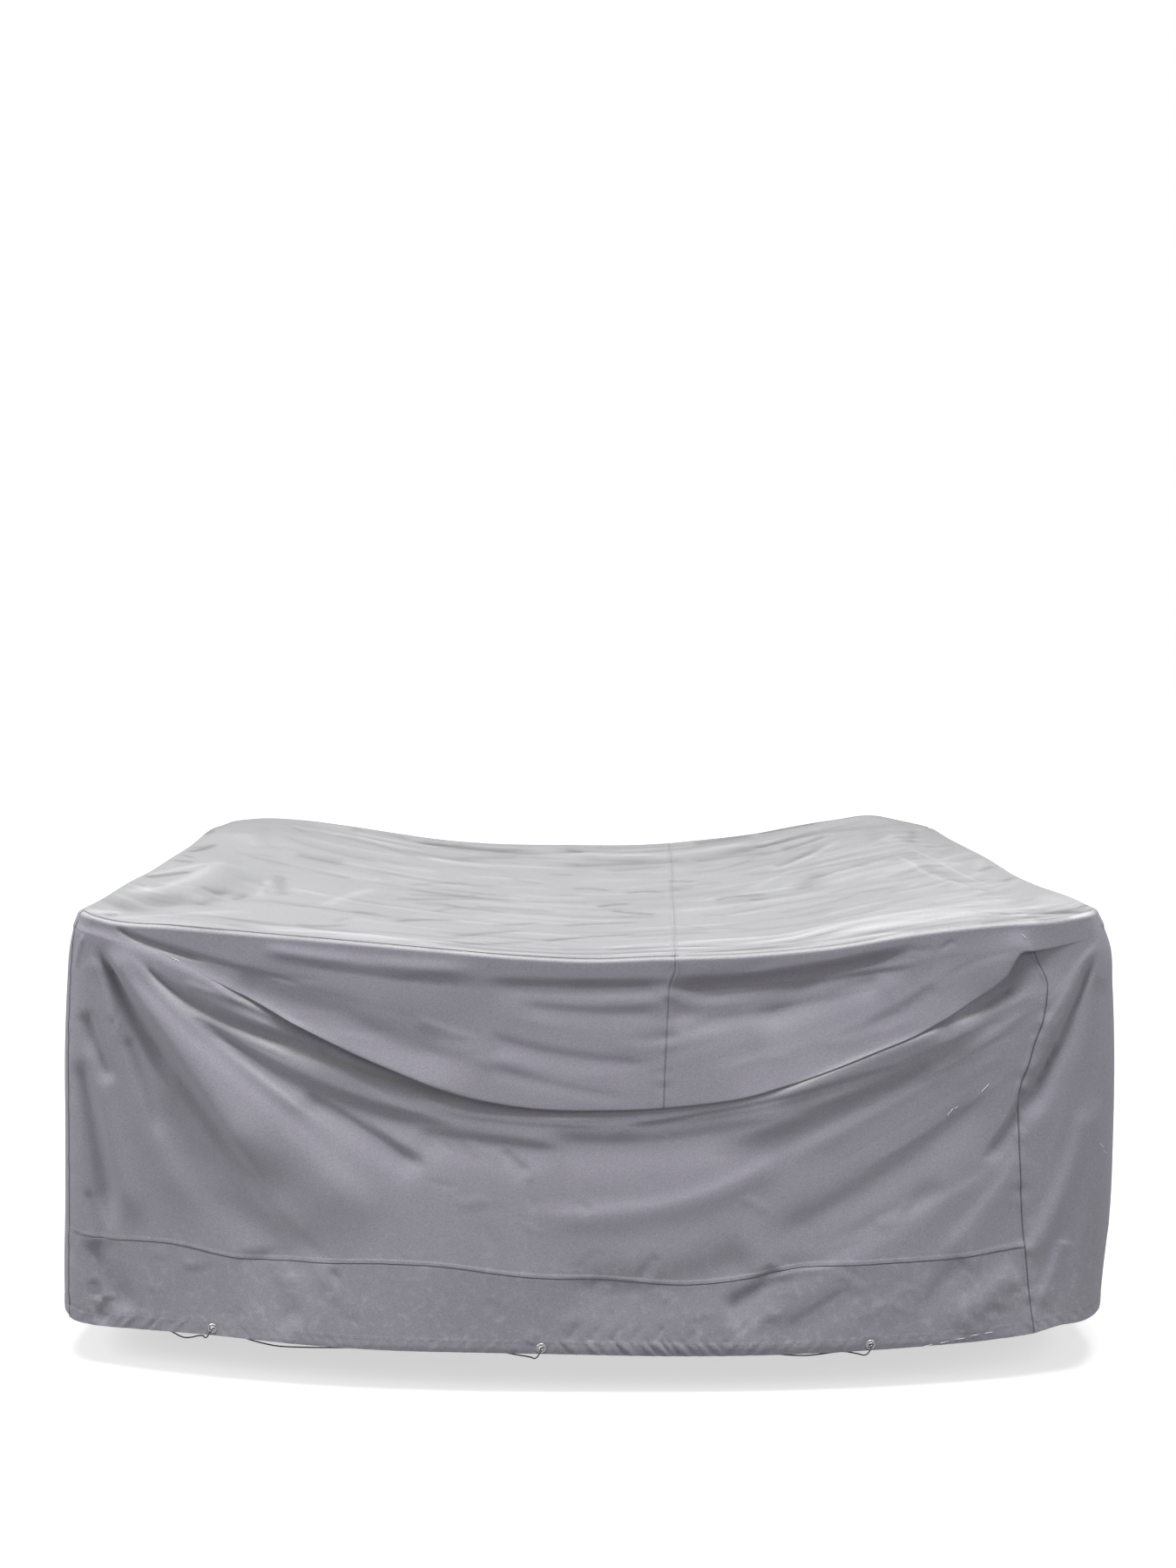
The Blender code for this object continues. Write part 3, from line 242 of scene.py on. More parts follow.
    ("v crease", 1104, 59, 1057, -25, 994, -129, 5, 6, -0.06, 0.05, SHADE),
    ("side soft one", 1117, -1, 1107, -154, 1102, -325, 20, 20, -0.19, -0.01, SHADE),
    ("side soft two", 1097, -172, 1062, -346, 1032, -535, 14, 16, -0.04, 0.02, SHADE),
    ("side fine", 1086, -115, 1049, -273, 1003, -421, 7, 7, 0.11, -0.01, LIT),
    ("apron fine one", 199, -57, 427, -31, 639, 12, 6, 6, -0.11, -0.09, SHADE),
    ("apron fine two", 219, -78, 427, -55, 673, -1, 7, 6, 0.16, 0.03, LIT),
    ("apron fine three", 729, -33, 635, -82, 520, -110, 6, 6, 0.04, -0.04, LIT),
    ("apron fine four", 862, 62, 727, 43, 601, -4, 7, 9, 0.04, 0.26, LIT),
    ("apron fine five", 796, 83, 778, 71, 764, 59, 6, 5, -0.26, -0.04, SHADE),
    ("apron fine six", 692, 73, 720, 62, 751, 68, 7, 7, -0.13, -0.14, SHADE),
    ("apron fine seven", -719, 72, -486, 41, -212, 23, 13, 16, 0.33, -0.01, LIT),
    ("apron fine eight", -790, 19, -557, -35, -292, -102, 8, 9, -0.04, 0.01, SHADE),
    ("apron fine nine", -635, -73, -443, -120, -256, -171, 9, 11, 0.04, 0.08, LIT),
    ("low line left", -798, -358, -709, -467, -610, -578, 9, 12, -0.05, 0.08, SHADE),
    ("low light left", -727, -410, -627, -524, -520, -594, 12, 16, 0.04, 0.02, LIT),
    ("band fold one", -1126, -618, -1076, -690, -1008, -761, 10, 12, -0.10, -0.29, SHADE),
    ("band fold two", -712, -627, -652, -682, -624, -736, 12, 10, -0.09, -0.29, SHADE),
    ("band fold three", -554, -619, -529, -666, -517, -721, 8, 9, -0.23, -0.33, SHADE),
    ("band fold four", 330, -658, 423, -628, 538, -618, 9, 8, 0.25, -0.14, LIT),
    ("band fold five", 630, -647, 534, -703, 449, -755, 10, 12, -0.06, -0.46, SHADE),
    ("band fold six", 728, -636, 635, -694, 537, -740, 11, 13, 0.10, -0.17, LIT),
    ("band fold seven", 862, -637, 784, -690, 688, -742, 12, 14, -0.04, -0.43, SHADE),
    ("band fold eight", 923, -624, 861, -675, 764, -731, 10, 12, 0.04, -0.05, LIT),
    ("edge crease sharp", -1019, 106, -944, 66, -805, 31, 4, 4, -0.85, 0.04, SHADE),
    ("edge crease sharp on", -817, 34, -714, 11, -611, -16, 4, 5, -0.29, -0.17, SHADE),
    ("under edge left", -617, 26, -427, 0, -217, -21, 3, 4, -0.26, 0.08, SHADE),
    ("under edge middle", -220, -22, 7, -34, 181, -25, 4, 3, -0.24, 0.09, SHADE),
    ("fold shade left", -794, -44, -712, -85, -598, -147, 3, 3, -0.28, -0.13, SHADE),
    ("fold shade middle", -598, -150, -445, -210, -244, -262, 8, 10, -0.85, -0.26, SHADE),
    ("loose lip line", -888, 1, -794, -34, -716, -63, 3, 3, -0.51, 0.15, SHADE),
    ("steep edge", -1057, 38, -1004, -88, -921, -233, 4, 6, -0.60, -0.02, SHADE),
    ("pocket wedge", 799, -85, 863, -60, 934, -20, 5, 11, -0.74, -0.16, SHADE),
    ("v line", 1110, 72, 1052, 4, 1003, -73, 3, 4, 0.46, 0.04, LIT),
    ("v line two", 1092, 57, 1046, -19, 980, -140, 3, 4, 0.60, 0.03, LIT),
    ("v shade", 1089, 15, 1069, -60, 1026, -146, 4, 6, -0.59, -0.06, SHADE),
    ("v shade low", 1027, -145, 994, -221, 957, -269, 6, 5, -0.69, 0.01, SHADE),
    ("seam hollow fine", 947, -283, 909, -333, 870, -382, 4, 5, -0.63, -0.01, SHADE),
    ("long crest fine", 971, -67, 750, -195, 541, -302, 3, 3, 0.13, 0.02, LIT),
    ("second crest fine", 903, -169, 730, -266, 518, -366, 3, 3, 0.06, -0.00, LIT),
    ("hem gather one", -46, -762, -34, -746, -24, -730, 4, 4, -0.65, -0.04, SHADE),
    ("hem gather two", 0, -765, 12, -749, 22, -732, 5, 3, -0.75, -0.01, SHADE),
    ("hem gather three", 45, -766, 59, -750, 70, -731, 4, 4, -0.62, -0.03, SHADE),
    ("hem gather four", 91, -765, 101, -750, 117, -734, 4, 3, -0.64, -0.02, SHADE),
    ("hem gather five", 134, -767, 148, -751, 162, -734, 4, 4, -0.55, 0.00, SHADE),
    ("hem gather six", 217, -763, 227, -748, 244, -733, 4, 4, -0.50, -0.01, SHADE),
    ("hem gather seven", 309, -760, 323, -746, 342, -731, 4, 4, -0.48, 0.04, SHADE),
    ("steep core", -1052, 43, -989, -86, -901, -216, 5, 10, -0.85, 0.03, SHADE),
    ("under core", -967, 31, -843, -55, -597, -154, 5, 11, -0.40, -0.33, SHADE),
    ("second core", -824, -120, -762, -151, -678, -191, 4, 6, -0.41, -0.01, SHADE),
    ("second light line", -869, -72, -783, -113, -628, -179, 5, 5, 0.60, 0.14, LIT),
    ("rim light", -1101, 93, -1116, 57, -1126, 18, 4, 5, 0.75, -0.05, LIT),
    ("fan dark line", -1089, 28, -1050, -67, -1010, -177, 3, 3, -0.38, -0.02, SHADE),
    ("dent core", -1094, -85, -1074, -136, -1053, -210, 5, 7, -0.60, -0.03, SHADE),
    ("second hollow core", -1107, -167, -1071, -331, -1026, -493, 6, 8, -0.22, -0.03, SHADE),
    ("crisp line", -992, 46, -878, -69, -731, -195, 4, 3, 0.70, 0.17, LIT),
)
# The same for the top, without the last two: (x, y) points on a fold's highest or deepest line.
TOP_FOLDS = (
    ("margin ridge", -1115, -489, -1050, -349, -1011, 59, 16, 20, 0.40),
    ("margin crease one", -1123, -312, -1086, -200, -1043, -118, 10, 10, -0.69),
    ("margin crease two", -1124, -409, -1106, -406, -1084, -406, 8, 8, -0.52),
    ("margin crease three", -1077, -402, -1063, -365, -1051, -324, 7, 7, -0.46),
    ("margin crease four", -1126, -35, -1099, -23, -1070, -19, 10, 10, -0.57),
    ("margin crease five", -1128, 64, -1105, 47, -1085, 39, 8, 8, -0.46),
    ("margin crease six", -1127, 113, -1100, 175, -1083, 266, 10, 10, -0.69),
    ("margin crease seven", -1141, 193, -1122, 191, -1104, 220, 10, 10, -0.40),
    ("margin crease eight", -1140, 349, -1136, 380, -1119, 395, 11, 11, -0.52),
    ("margin crease nine", -1140, 382, -1136, 484, -1120, 580, 10, 10, -0.34),
    ("margin light", -1129, -278, -1086, -122, -1035, -7, 10, 10, 0.40),
    ("valley", -1097, -673, -1026, -531, -958, -396, 50, 69, -0.42),
    ("valley end", -973, -445, -925, -214, -890, 13, 50, 88, -0.18),
    ("dimple one", -939, -471, -925, -430, -904, -376, 18, 18, -0.34),
    ("dimple two", -928, -359, -925, -297, -914, -247, 18, 18, -0.34),
    ("dimple three", -883, -368, -875, -331, -882, -215, 14, 14, -0.32),
    ("dimple four", -866, -111, -854, -140, -829, -219, 11, 11, -0.25),
    ("dimple five", -843, -8, -816, -112, -778, -261, 18, 18, -0.29),
    ("dimple light", -835, -294, -855, -145, -850, -70, 11, 11, 0.29),
    ("corner light", -1104, -782, -1080, -727, -1043, -695, 12, 12, 0.49),
    ("corner dash", -1071, -757, -1062, -740, -1050, -724, 9, 9, -0.70),
    ("corner line one", -1068, -793, -944, -661, -778, -519, 11, 15, 0.28),
    ("corner line two", -1038, -794, -854, -771, -664, -763, 9, 11, 0.28),
    ("edge line left", -942, -797, -711, -803, -370, -809, 7, 9, -0.39),
    ("diagonal light", -663, -354, -633, -141, -569, 17, 14, 14, 0.29),
    ("crease one", -680, -620, -617, -609, -562, -547, 10, 10, -0.49),
    ("crease two", -603, -530, -589, -492, -577, -438, 8, 8, -0.33),
    ("crease three", -591, -362, -558, -333, -521, -329, 10, 10, -0.36),
    ("crease four", -477, -439, -406, -321, -325, -288, 12, 12, -0.59),
    ("crease five", -527, -91, -417, -12, -278, 59, 10, 10, -0.42),
    ("crease six", -508, 1, -398, 42, -283, 114, 10, 10, -0.42),
    ("crease seven", -515, 101, -426, 197, -322, 244, 8, 8, -0.39),
    ("light line one", -671, 92, -624, 96, -574, 126, 13, 13, 0.29),
    ("hump streak", -856, 262, -781, 262, -699, 254, 22, 26, -0.30),
    ("hump line", -968, 598, -918, 566, -862, 500, 12, 12, -0.25),
    ("hump light", -901, 677, -761, 634, -530, 545, 14, 20, 0.30),
    ("hump light two", -905, 751, -752, 750, -548, 703, 10, 12, 0.30),
    ("hump dark", -863, 591, -690, 531, -518, 454, 16, 22, -0.20),
    ("hump band", -1006, 524, -966, 354, -936, 253, 30, 30, -0.12),
    ("back crease", -787, 753, -678, 747, -552, 732, 18, 21, -0.63),
    ("back crease on", -579, 728, -393, 717, -195, 722, 21, 18, -0.55),
    ("back small", -77, 735, -42, 726, -10, 714, 16, 13, -0.40),
    ("back crease right", 334, 771, 443, 785, 565, 802, 21, 24, -0.52),
    ("back crease far", 549, 803, 659, 800, 782, 797, 19, 14, -0.57),
    ("back light", -546, 457, -308, 467, 14, 480, 14, 14, 0.32),
    ("back soft", -429, 496, -263, 618, -84, 613, 24, 21, -0.29),
    ("back band", -93, 517, 124, 584, 343, 582, 34, 44, -0.42),
    ("back band on", 315, 570, 427, 610, 546, 642, 44, 36, -0.38),
    ("back band two", 40, 458, 161, 479, 246, 512, 18, 18, -0.28),
    ("back light two", 195, 646, 350, 670, 558, 742, 14, 14, 0.34),
    ("back light three", -98, 672, 71, 676, 237, 658, 13, 13, 0.21),
    ("line one", 297, 390, 408, 402, 531, 509, 8, 8, -0.29),
    ("line two", -232, 324, -180, 303, -125, 282, 8, 8, -0.33),
    ("line three", -119, 396, -79, 391, -35, 387, 8, 8, -0.33),
    ("line four", 66, 404, 131, 416, 202, 395, 8, 8, -0.26),
    ("line five", 230, 298, 271, 298, 325, 281, 8, 8, -0.42),
    ("line six", 239, 210, 277, 210, 315, 218, 8, 8, -0.33),
    ("line seven", -51, 231, 13, 248, 73, 206, 10, 10, -0.45),
    ("line eight", 107, 168, 163, 206, 221, 168, 8, 8, -0.33),
    ("line nine", -399, -183, -371, -116, -333, -96, 10, 10, -0.36),
    ("line ten", -253, -318, -185, -264, -120, -197, 10, 10, -0.45),
    ("line eleven", -326, -582, -243, -457, -150, -356, 12, 12, -0.49),
    ("line twelve", -78, -251, 35, -188, 152, -192, 10, 10, -0.55),
    ("line thirteen", -121, -542, 10, -420, 136, -386, 14, 12, -0.65),
    ("line fourteen", -349, -734, -231, -638, -110, -538, 16, 14, -0.42),
    ("line fifteen", -80, -647, 31, -643, 148, -626, 12, 12, -0.45),
    ("line sixteen", -370, -809, -257, -793, -143, -706, 7, 7, -0.33),
    ("line seventeen", 24, 13, 68, 50, 127, 46, 10, 10, -0.62),
    ("line eighteen", 55, -17, 125, -54, 192, -92, 10, 10, -0.55),
    ("line nineteen", 87, -104, 139, -113, 191, -125, 7, 7, -0.36),
    ("line twenty", 353, 29, 404, 58, 508, 33, 10, 10, -0.65),
    ("line twenty one", 438, 12, 465, -4, 498, -8, 7, 7, -0.45),
    ("line twenty two", 302, -146, 335, -142, 372, -175, 8, 8, -0.36),
    ("line twenty three", 382, -75, 412, -54, 447, -42, 7, 7, -0.33),
    ("line twenty four", 230, -272, 266, -297, 299, -343, 7, 7, -0.29),
    ("line twenty five", 329, -343, 368, -381, 408, -423, 7, 7, -0.33),
    ("bright bulge", -310, -150, -172, -134, -36, -38, 48, 48, 0.11),
    ("edge line right", 202, -631, 307, -676, 454, -687, 19, 19, -0.56),
    ("edge line low", 201, -782, 338, -765, 516, -788, 11, 11, -0.45),
    ("edge line far", 424, -688, 561, -698, 697, -746, 17, 17, -0.39),
    ("edge light", 204, -597, 316, -583, 416, -599, 11, 11, 0.42),
    ("edge light low", 396, -756, 550, -757, 731, -804, 11, 11, 0.49),
    ("fan light", 534, 684, 660, 702, 767, 741, 13, 10, 0.44),
    ("fan dark", 519, 642, 644, 690, 755, 720, 18, 13, -0.63),
    ("fan dark two", 590, 545, 683, 577, 761, 637, 16, 13, -0.52),
    ("fan light two", 551, 500, 664, 540, 769, 600, 11, 10, 0.34),
    ("fan dark three", 549, 354, 630, 403, 745, 534, 19, 16, -0.40),
    ("fan light three", 523, 317, 653, 374, 798, 562, 14, 11, 0.32),
    ("fan light four", 455, 117, 526, 196, 643, 303, 14, 14, 0.23),
    ("right dimple", 579, 25, 624, 121, 676, 174, 32, 32, -0.44),
    ("hump shade", 909, 656, 884, 512, 857, 343, 34, 34, -0.14),
    ("hump crinkle", 946, 491, 965, 433, 976, 363, 22, 22, -0.28),
    ("hump crinkle two", 1043, 699, 1010, 539, 963, 355, 14, 14, -0.28),
    ("thin ridge", 937, 302, 991, 6, 1041, -319, 5, 5, 0.31),
    ("thin ridge two", 887, 248, 918, -102, 982, -332, 5, 5, 0.28),
    ("between ridges", 909, 224, 942, -77, 998, -237, 20, 20, -0.14),
    ("right margin one", 1045, -43, 1080, -18, 1117, 14, 11, 11, -0.46),
    ("right margin two", 1068, -211, 1094, -186, 1120, -156, 10, 10, -0.46),
    ("right margin three", 1030, 67, 1073, 121, 1108, 141, 10, 10, -0.23),
    ("bright band", 466, -527, 752, -628, 1071, -504, 88, 50, 0.19),
    ("bright band end", 1063, -496, 1093, -624, 1085, -794, 33, 25, 0.19),
    ("corner dark", 865, -734, 950, -707, 1026, -664, 11, 11, -0.53),
    ("corner dark two", 845, -793, 928, -778, 1004, -751, 11, 12, -0.53),
    ("corner dark three", 1011, -685, 1058, -746, 1087, -795, 17, 15, -0.63),
    ("corner dark four", 973, -787, 1018, -797, 1063, -796, 15, 13, -0.63),
    ("front light left", -808, -801, -656, -804, -370, -809, 5, 5, 0.34),
)
# The top's broad swells.
TOP_SWELLS = (
    ("left margin swell", -1060, -560, -970, -240, -1040, 160, 30, 40, 0.20),
    ("left valley", -930, -550, -860, -300, -840, -50, 60, 70, -0.16),
    ("back left hump", -1020, 300, -960, 500, -930, 700, 90, 80, 0.10),
    ("front right swell", 1040, -530, 800, -580, 450, -660, 40, 70, 0.16),
    ("right swell", 914, 180, 940, -160, 990, -500, 30, 30, 0.20),
    ("right hump fan", 860, 720, 600, 580, 250, 420, 30, 50, 0.14),
    ("left hump fan", -900, 680, -720, 550, -500, 420, 30, 50, 0.12),
)
# The plain soft folds of the hidden walls: (y, height) points on the sides, (x, height) on the back.
LEFT_FOLDS = (
    ("front hang", -620, 60, -550, -350, -500, -770, 20, 60, -0.30),
    ("middle hang", -100, -100, -50, -450, 0, -780, 30, 70, 0.24),
    ("back hang", 660, 60, 520, -350, 450, -770, 20, 70, -0.31),
)
RIGHT_FOLDS = (
    ("front hang", -600, 60, -480, -350, -420, -770, 20, 70, -0.29),
    ("middle hang", 80, -60, 100, -400, 60, -780, 30, 80, 0.22),
    ("back hang", 640, 50, 580, -350, 550, -770, 20, 60, -0.30),
)
BACK_FOLDS = (
    ("left hang", -1000, 80, -780, -300, -620, -770, 30, 90, -0.23),
    ("left swag", -900, 0, -400, -220, 100, -260, 30, 60, 0.22),
    ("middle hang", -120, -300, -80, -550, 0, -780, 50, 100, 0.13),
    ("right hang", 980, 80, 800, -300, 660, -770, 30, 90, -0.23),
)
# Small creases strewn over a patch: count, patch (a from, to, b from, to), direction in degrees at the
# patch's left and right side, its spread, length, width and depth
FRONT_CREASES = (
    # name, count, a_from, a_to, b_from, b_to, turn_from, turn_to, spread, long, wide, steep
    ("apron creases", 24, -0.70, 0.90, -0.20, 0.05, -10.0, 16.0, 6.0, 0.18, 0.008, 0.12),
    ("skirt dents", 14, -0.40, 0.40, -0.60, -0.35, -30.0, 30.0, 35.0, 0.05, 0.009, 0.12),
    ("band dents", 60, -1.10, 0.95, -0.79, -0.60, -10.0, 10.0, 50.0, 0.05, 0.009, 0.16),
)
TOP_CREASES = (
    ("middle creases", 150, -0.85, 0.95, -0.70, 0.55, -7.0, 9.0, 3.0, 0.34, 0.012, 0.30),
    ("edge creases", 60, -0.95, 1.00, -0.79, -0.62, -3.0, 6.0, 2.0, 0.50, 0.010, 0.40),
    ("back creases", 46, -0.80, 0.80, 0.50, 0.78, -5.0, 5.0, 3.0, 0.40, 0.014, 0.28),
    ("left creases", 20, -1.10, -0.88, -0.70, 0.60, -15.0, 15.0, 10.0, 0.12, 0.011, 0.28),
    ("right creases", 40, 0.88, 1.08, -0.70, 0.70, 25.0, 50.0, 8.0, 0.16, 0.010, 0.32),
    ("right corner creases", 16, 0.95, 1.10, -0.79, -0.66, -20.0, -5.0, 6.0, 0.22, 0.009, 0.45),
)

# Column and row where each short pale thread or scuff on the cloth starts, and where it ends
PALE_THREADS: Rows = (
    (48.713, 9.177, 48.465, 9.255), (48.899, 9.124, 48.651, 9.229), (46.668, 9.229, 46.235, 9.387),
    (46.978, 9.255, 46.730, 9.282), (55.342, 11.697, 54.847, 11.487), (55.714, 11.881, 55.157, 11.697),
    (6.334, 6.000, 6.829, 6.000), (6.458, 6.079, 6.644, 6.000), (6.706, 6.000, 6.829, 6.000),
    (50.448, 2.909, 50.758, 3.591), (45.367, 17.000, 45.863, 16.869), (46.173, 16.842, 46.668, 16.711),
    (46.916, 16.632, 47.474, 16.580), (47.722, 16.449, 48.155, 16.370), (48.403, 16.396, 48.899, 16.344),
)
# Eyelets: (name, loop column of its cell, spans of the cell)
EYELETS = (
    ("eyelet_front_left", 8, 1),
    ("eyelet_front_middle", 25, 1),
    ("eyelet_front_right", 42, 1),
    ("eyelet_right_front", 60, 1),
    ("eyelet_right_back", 67, 1),
    ("eyelet_back_right", 80, 2),
    ("eyelet_back_middle", 98, 2),
    ("eyelet_back_left", 116, 2),
    ("eyelet_left_back", 132, 1),
    ("eyelet_left_front", 139, 1),
)
# How the cord passes an eyelet: (along, outward, up) from the hole's middle
THREADING: Rows = (
    (-0.030, -0.010, -0.022), (-0.012, 0.0050, -0.0195), (0.000, 0.0065, -0.0036),
    (0.000, -0.0090, -0.0036), (0.030, -0.015, -0.006),
)
# The cord's way between the eyelets: (loop column, how far inside the hem, how far below its edge)
CORD_ROUTE: Rows = (
    (101.0, 0.022, -0.020), (108.0, 0.020, -0.010), (126.4, 0.022, -0.010), (129.6, 0.022, -0.010),
    (136.0, 0.020, -0.010), (142.6, 0.022, -0.010), (145.4, 0.022, -0.010), (149.8, 0.014, 0.002),
    (151.0, 0.008, 0.015), (154.2, 0.016, 0.004), (155.5, 0.016, 0.015), (156.8, 0.016, 0.016),
    (160.8, 0.016, 0.004), (165.0, 0.020, -0.006), (177.5, 0.020, -0.006), (180.6, 0.016, 0.001),
    (183.1, 0.012, 0.010), (185.0, 0.010, 0.004), (191.0, 0.020, -0.006), (198.6, 0.022, -0.010),
    (201.4, 0.022, -0.010), (208.0, 0.020, -0.010), (214.6, 0.022, -0.010), (217.4, 0.022, -0.010),
    (234.0, 0.020, -0.010),
)
VECTOR, VALUE = "NodeSocketVector", "NodeSocketFloat"
WHITE = (1.0, 1.0, 1.0, 1.0)
# The cloth's mottle: (output, scale, detail, noise from which it begins, noise at which it is full, its most)
MOTTLE = (
    ("Clouds", 5.0, 4.0, 0.35, 0.70, 1.0),
    ("Patches", 52.0, 12.0, 0.49, 0.72, 0.40),
    ("Flecks", 210.0, 2.0, 0.68, 0.76, 1.0),
    ("Grain", 330.0, 5.0, 0.25, 0.75, 1.0),
)


def smooth_step(t: Array) -> Array:
    """0 below 0, 1 above 1, and a soft S between."""
    t = np.clip(t, 0.0, 1.0)
    return t * t * (3 - 2 * t)


def bell(d: Array, width: float | Array) -> Array:
    """1 at distance 0, and softly down to 0 on both sides over a width."""
    return np.exp(-((d / width) ** 2))


def unit(v: Array) -> Array:
    """Vectors of the last axis, made one long."""
    return v / np.maximum(np.linalg.norm(v, axis=-1, keepdims=True), 1e-12)


def cubic(t: Array, wide: Array, values: Array, slopes: Array, i: Array) -> Array:
    """Cubic pieces between values with given slopes.

    Args:
        t: the share of its piece at which each point lies.
        wide: its piece's width.
        values: the values between the pieces.
        slopes: the slopes there.
        i: the number of its piece.

    Returns:
        The curve's values.
    """
    level = (2 * t**3 - 3 * t**2 + 1) * values[i] + (3 * t**2 - 2 * t**3) * values[i + 1]
    return level + wide * ((t**3 - 2 * t**2 + t) * slopes[i] + (t**3 - t**2) * slopes[i + 1])


def through(rows: Rows, at: Array, column: int = 1) -> Array:
    """A smooth curve through a table's rows: cubic pieces whose slopes are the table's own mean slopes.

    Args:
        rows: the table, sorted by its first column.
        at: where to read it, as values of the first column.
        column: which column to read.

    Returns:
        The curve's values.
    """
    table = np.array(rows, float)
    x, y = table[:, 0], table[:, column]
    slope = np.gradient(y, x)
    at = np.clip(at, x[0], x[-1])
    i = np.clip(np.searchsorted(x, at) - 1, 0, len(x) - 2)
    wide = x[i + 1] - x[i]
    return cubic((at - x[i]) / wide, wide, y, slope, i)


def uneven(along: Array, pitch: float, phase: float = 0.0) -> Array:
    """An irregular wave from -1 to 1: three sines whose pitches have no common multiple.

    Args:
        along: distances.
        pitch: the longest sine's wavelength.
        phase: shifts the sines against each other.

    Returns:
        The wave's values.
    """
    a = 2 * math.pi * along / pitch
    waves = np.sin(a + phase) + 0.7 * np.sin(0.618 * a + 2.1 * phase + 1.0)
    return (waves + 0.5 * np.sin(1.414 * a - 1.3 * phase + 2.0)) / 2.2


def distances(line: Array) -> Array:
    """The way along a line of points up to each of them."""
    return np.concatenate([[0], np.cumsum(np.linalg.norm(np.diff(line, axis=0), axis=1))])


def read_line(line: Array, run: Array, at: Array) -> Array:
    """The line's points at given ways along it, where run is its distances()."""
    return np.stack([np.interp(at, run, line[:, k]) for k in range(3)], axis=1)


def quads_of(index: Array) -> Array:
    """Four-cornered faces between the rows of a grid of point numbers whose rows close on themselves."""
    here, there = index[:-1], index[1:]
    return np.stack([here, np.roll(here, -1, 1), np.roll(there, -1, 1), there], axis=-1).reshape(-1, 4)


@dataclass(frozen=True)
class Fold:
    """One fold: a curve through three points, with a width at each end and a height over that width."""

    name: str
    a0: float
    b0: float
    a1: float
    b1: float
    a2: float
    b2: float
    width0: float
    width1: float
    steep: float
    lean: float = 0.0
    mark: Mark = Mark.CREST

    def line(self) -> tuple[Array, Array]:
        """Points on the parabola through the three points.

        Returns:
            Their first and their second coordinates.
        """
        u = np.linspace(0.0, 1.0, FOLD_STEPS)
        first, middle, last = (1 - u) * (1 - 2 * u), 4 * u * (1 - u), u * (2 * u - 1)
        line_a = first * self.a0 + middle * self.a1 + last * self.a2
        return line_a, first * self.b0 + middle * self.b1 + last * self.b2

    def near(self, line_a: Array, line_b: Array, a: Array, b: Array) -> Array:
        """Which points lie near enough to be moved.

        Args:
            line_a: the curve's first coordinates.
            line_b: its second ones.
            a: the points' first coordinates.
            b: their second ones.

        Returns:
            The points' numbers.
        """
        reach = 3.2 * max(self.width0, self.width1)
        return np.flatnonzero((a > line_a.min() - reach) & (a < line_a.max() + reach)
                              & (b > line_b.min() - reach) & (b < line_b.max() + reach))

    def relief(self, line_a: Array, line_b: Array, a: Array, b: Array) -> tuple[Array, Array]:
        """A bell across the curve that fades at its ends, wider or narrower below than above by the lean.

        Args:
            line_a: the curve's first coordinates.
            line_b: its second ones.
            a: the points' first coordinates.
            b: their second ones.

        Returns:
            The fold's height over its width, and its width, at the points.
        """
        da, db = a[:, None] - line_a, b[:, None] - line_b
        nearest = np.argmin(da**2 + db**2, axis=-1)
        step = np.clip(nearest, 0, len(line_a) - 2)
        ta, tb = np.diff(line_a)[step], np.diff(line_b)[step]
        da, db = a - line_a[step], b - line_b[step]
        long = np.hypot(ta, tb)
        along = (da * ta + db * tb) / long**2
        below = (da * tb - db * ta) / long * np.sign(ta + 1e-9)
        place = (step + along) / (len(line_a) - 1)
        width = self.width0 + (self.width1 - self.width0) * np.clip(place, 0, 1)
        steep = self.steep * smooth_step(place / FADE_IN) * smooth_step((1 - place) / FADE_OUT)
        upper, lower = width * (1 + self.lean), width * (1 - self.lean)
        if self.mark is not Mark.CREST:
            above = (self.mark is Mark.LIT) == (self.steep > 0)  # the line lies on the fold's upper flank
            below = below - (FLANK * upper if above else -FLANK * lower)
        across = below / np.where(below > 0, lower, upper)
        return steep * np.exp(-(across**2)), width


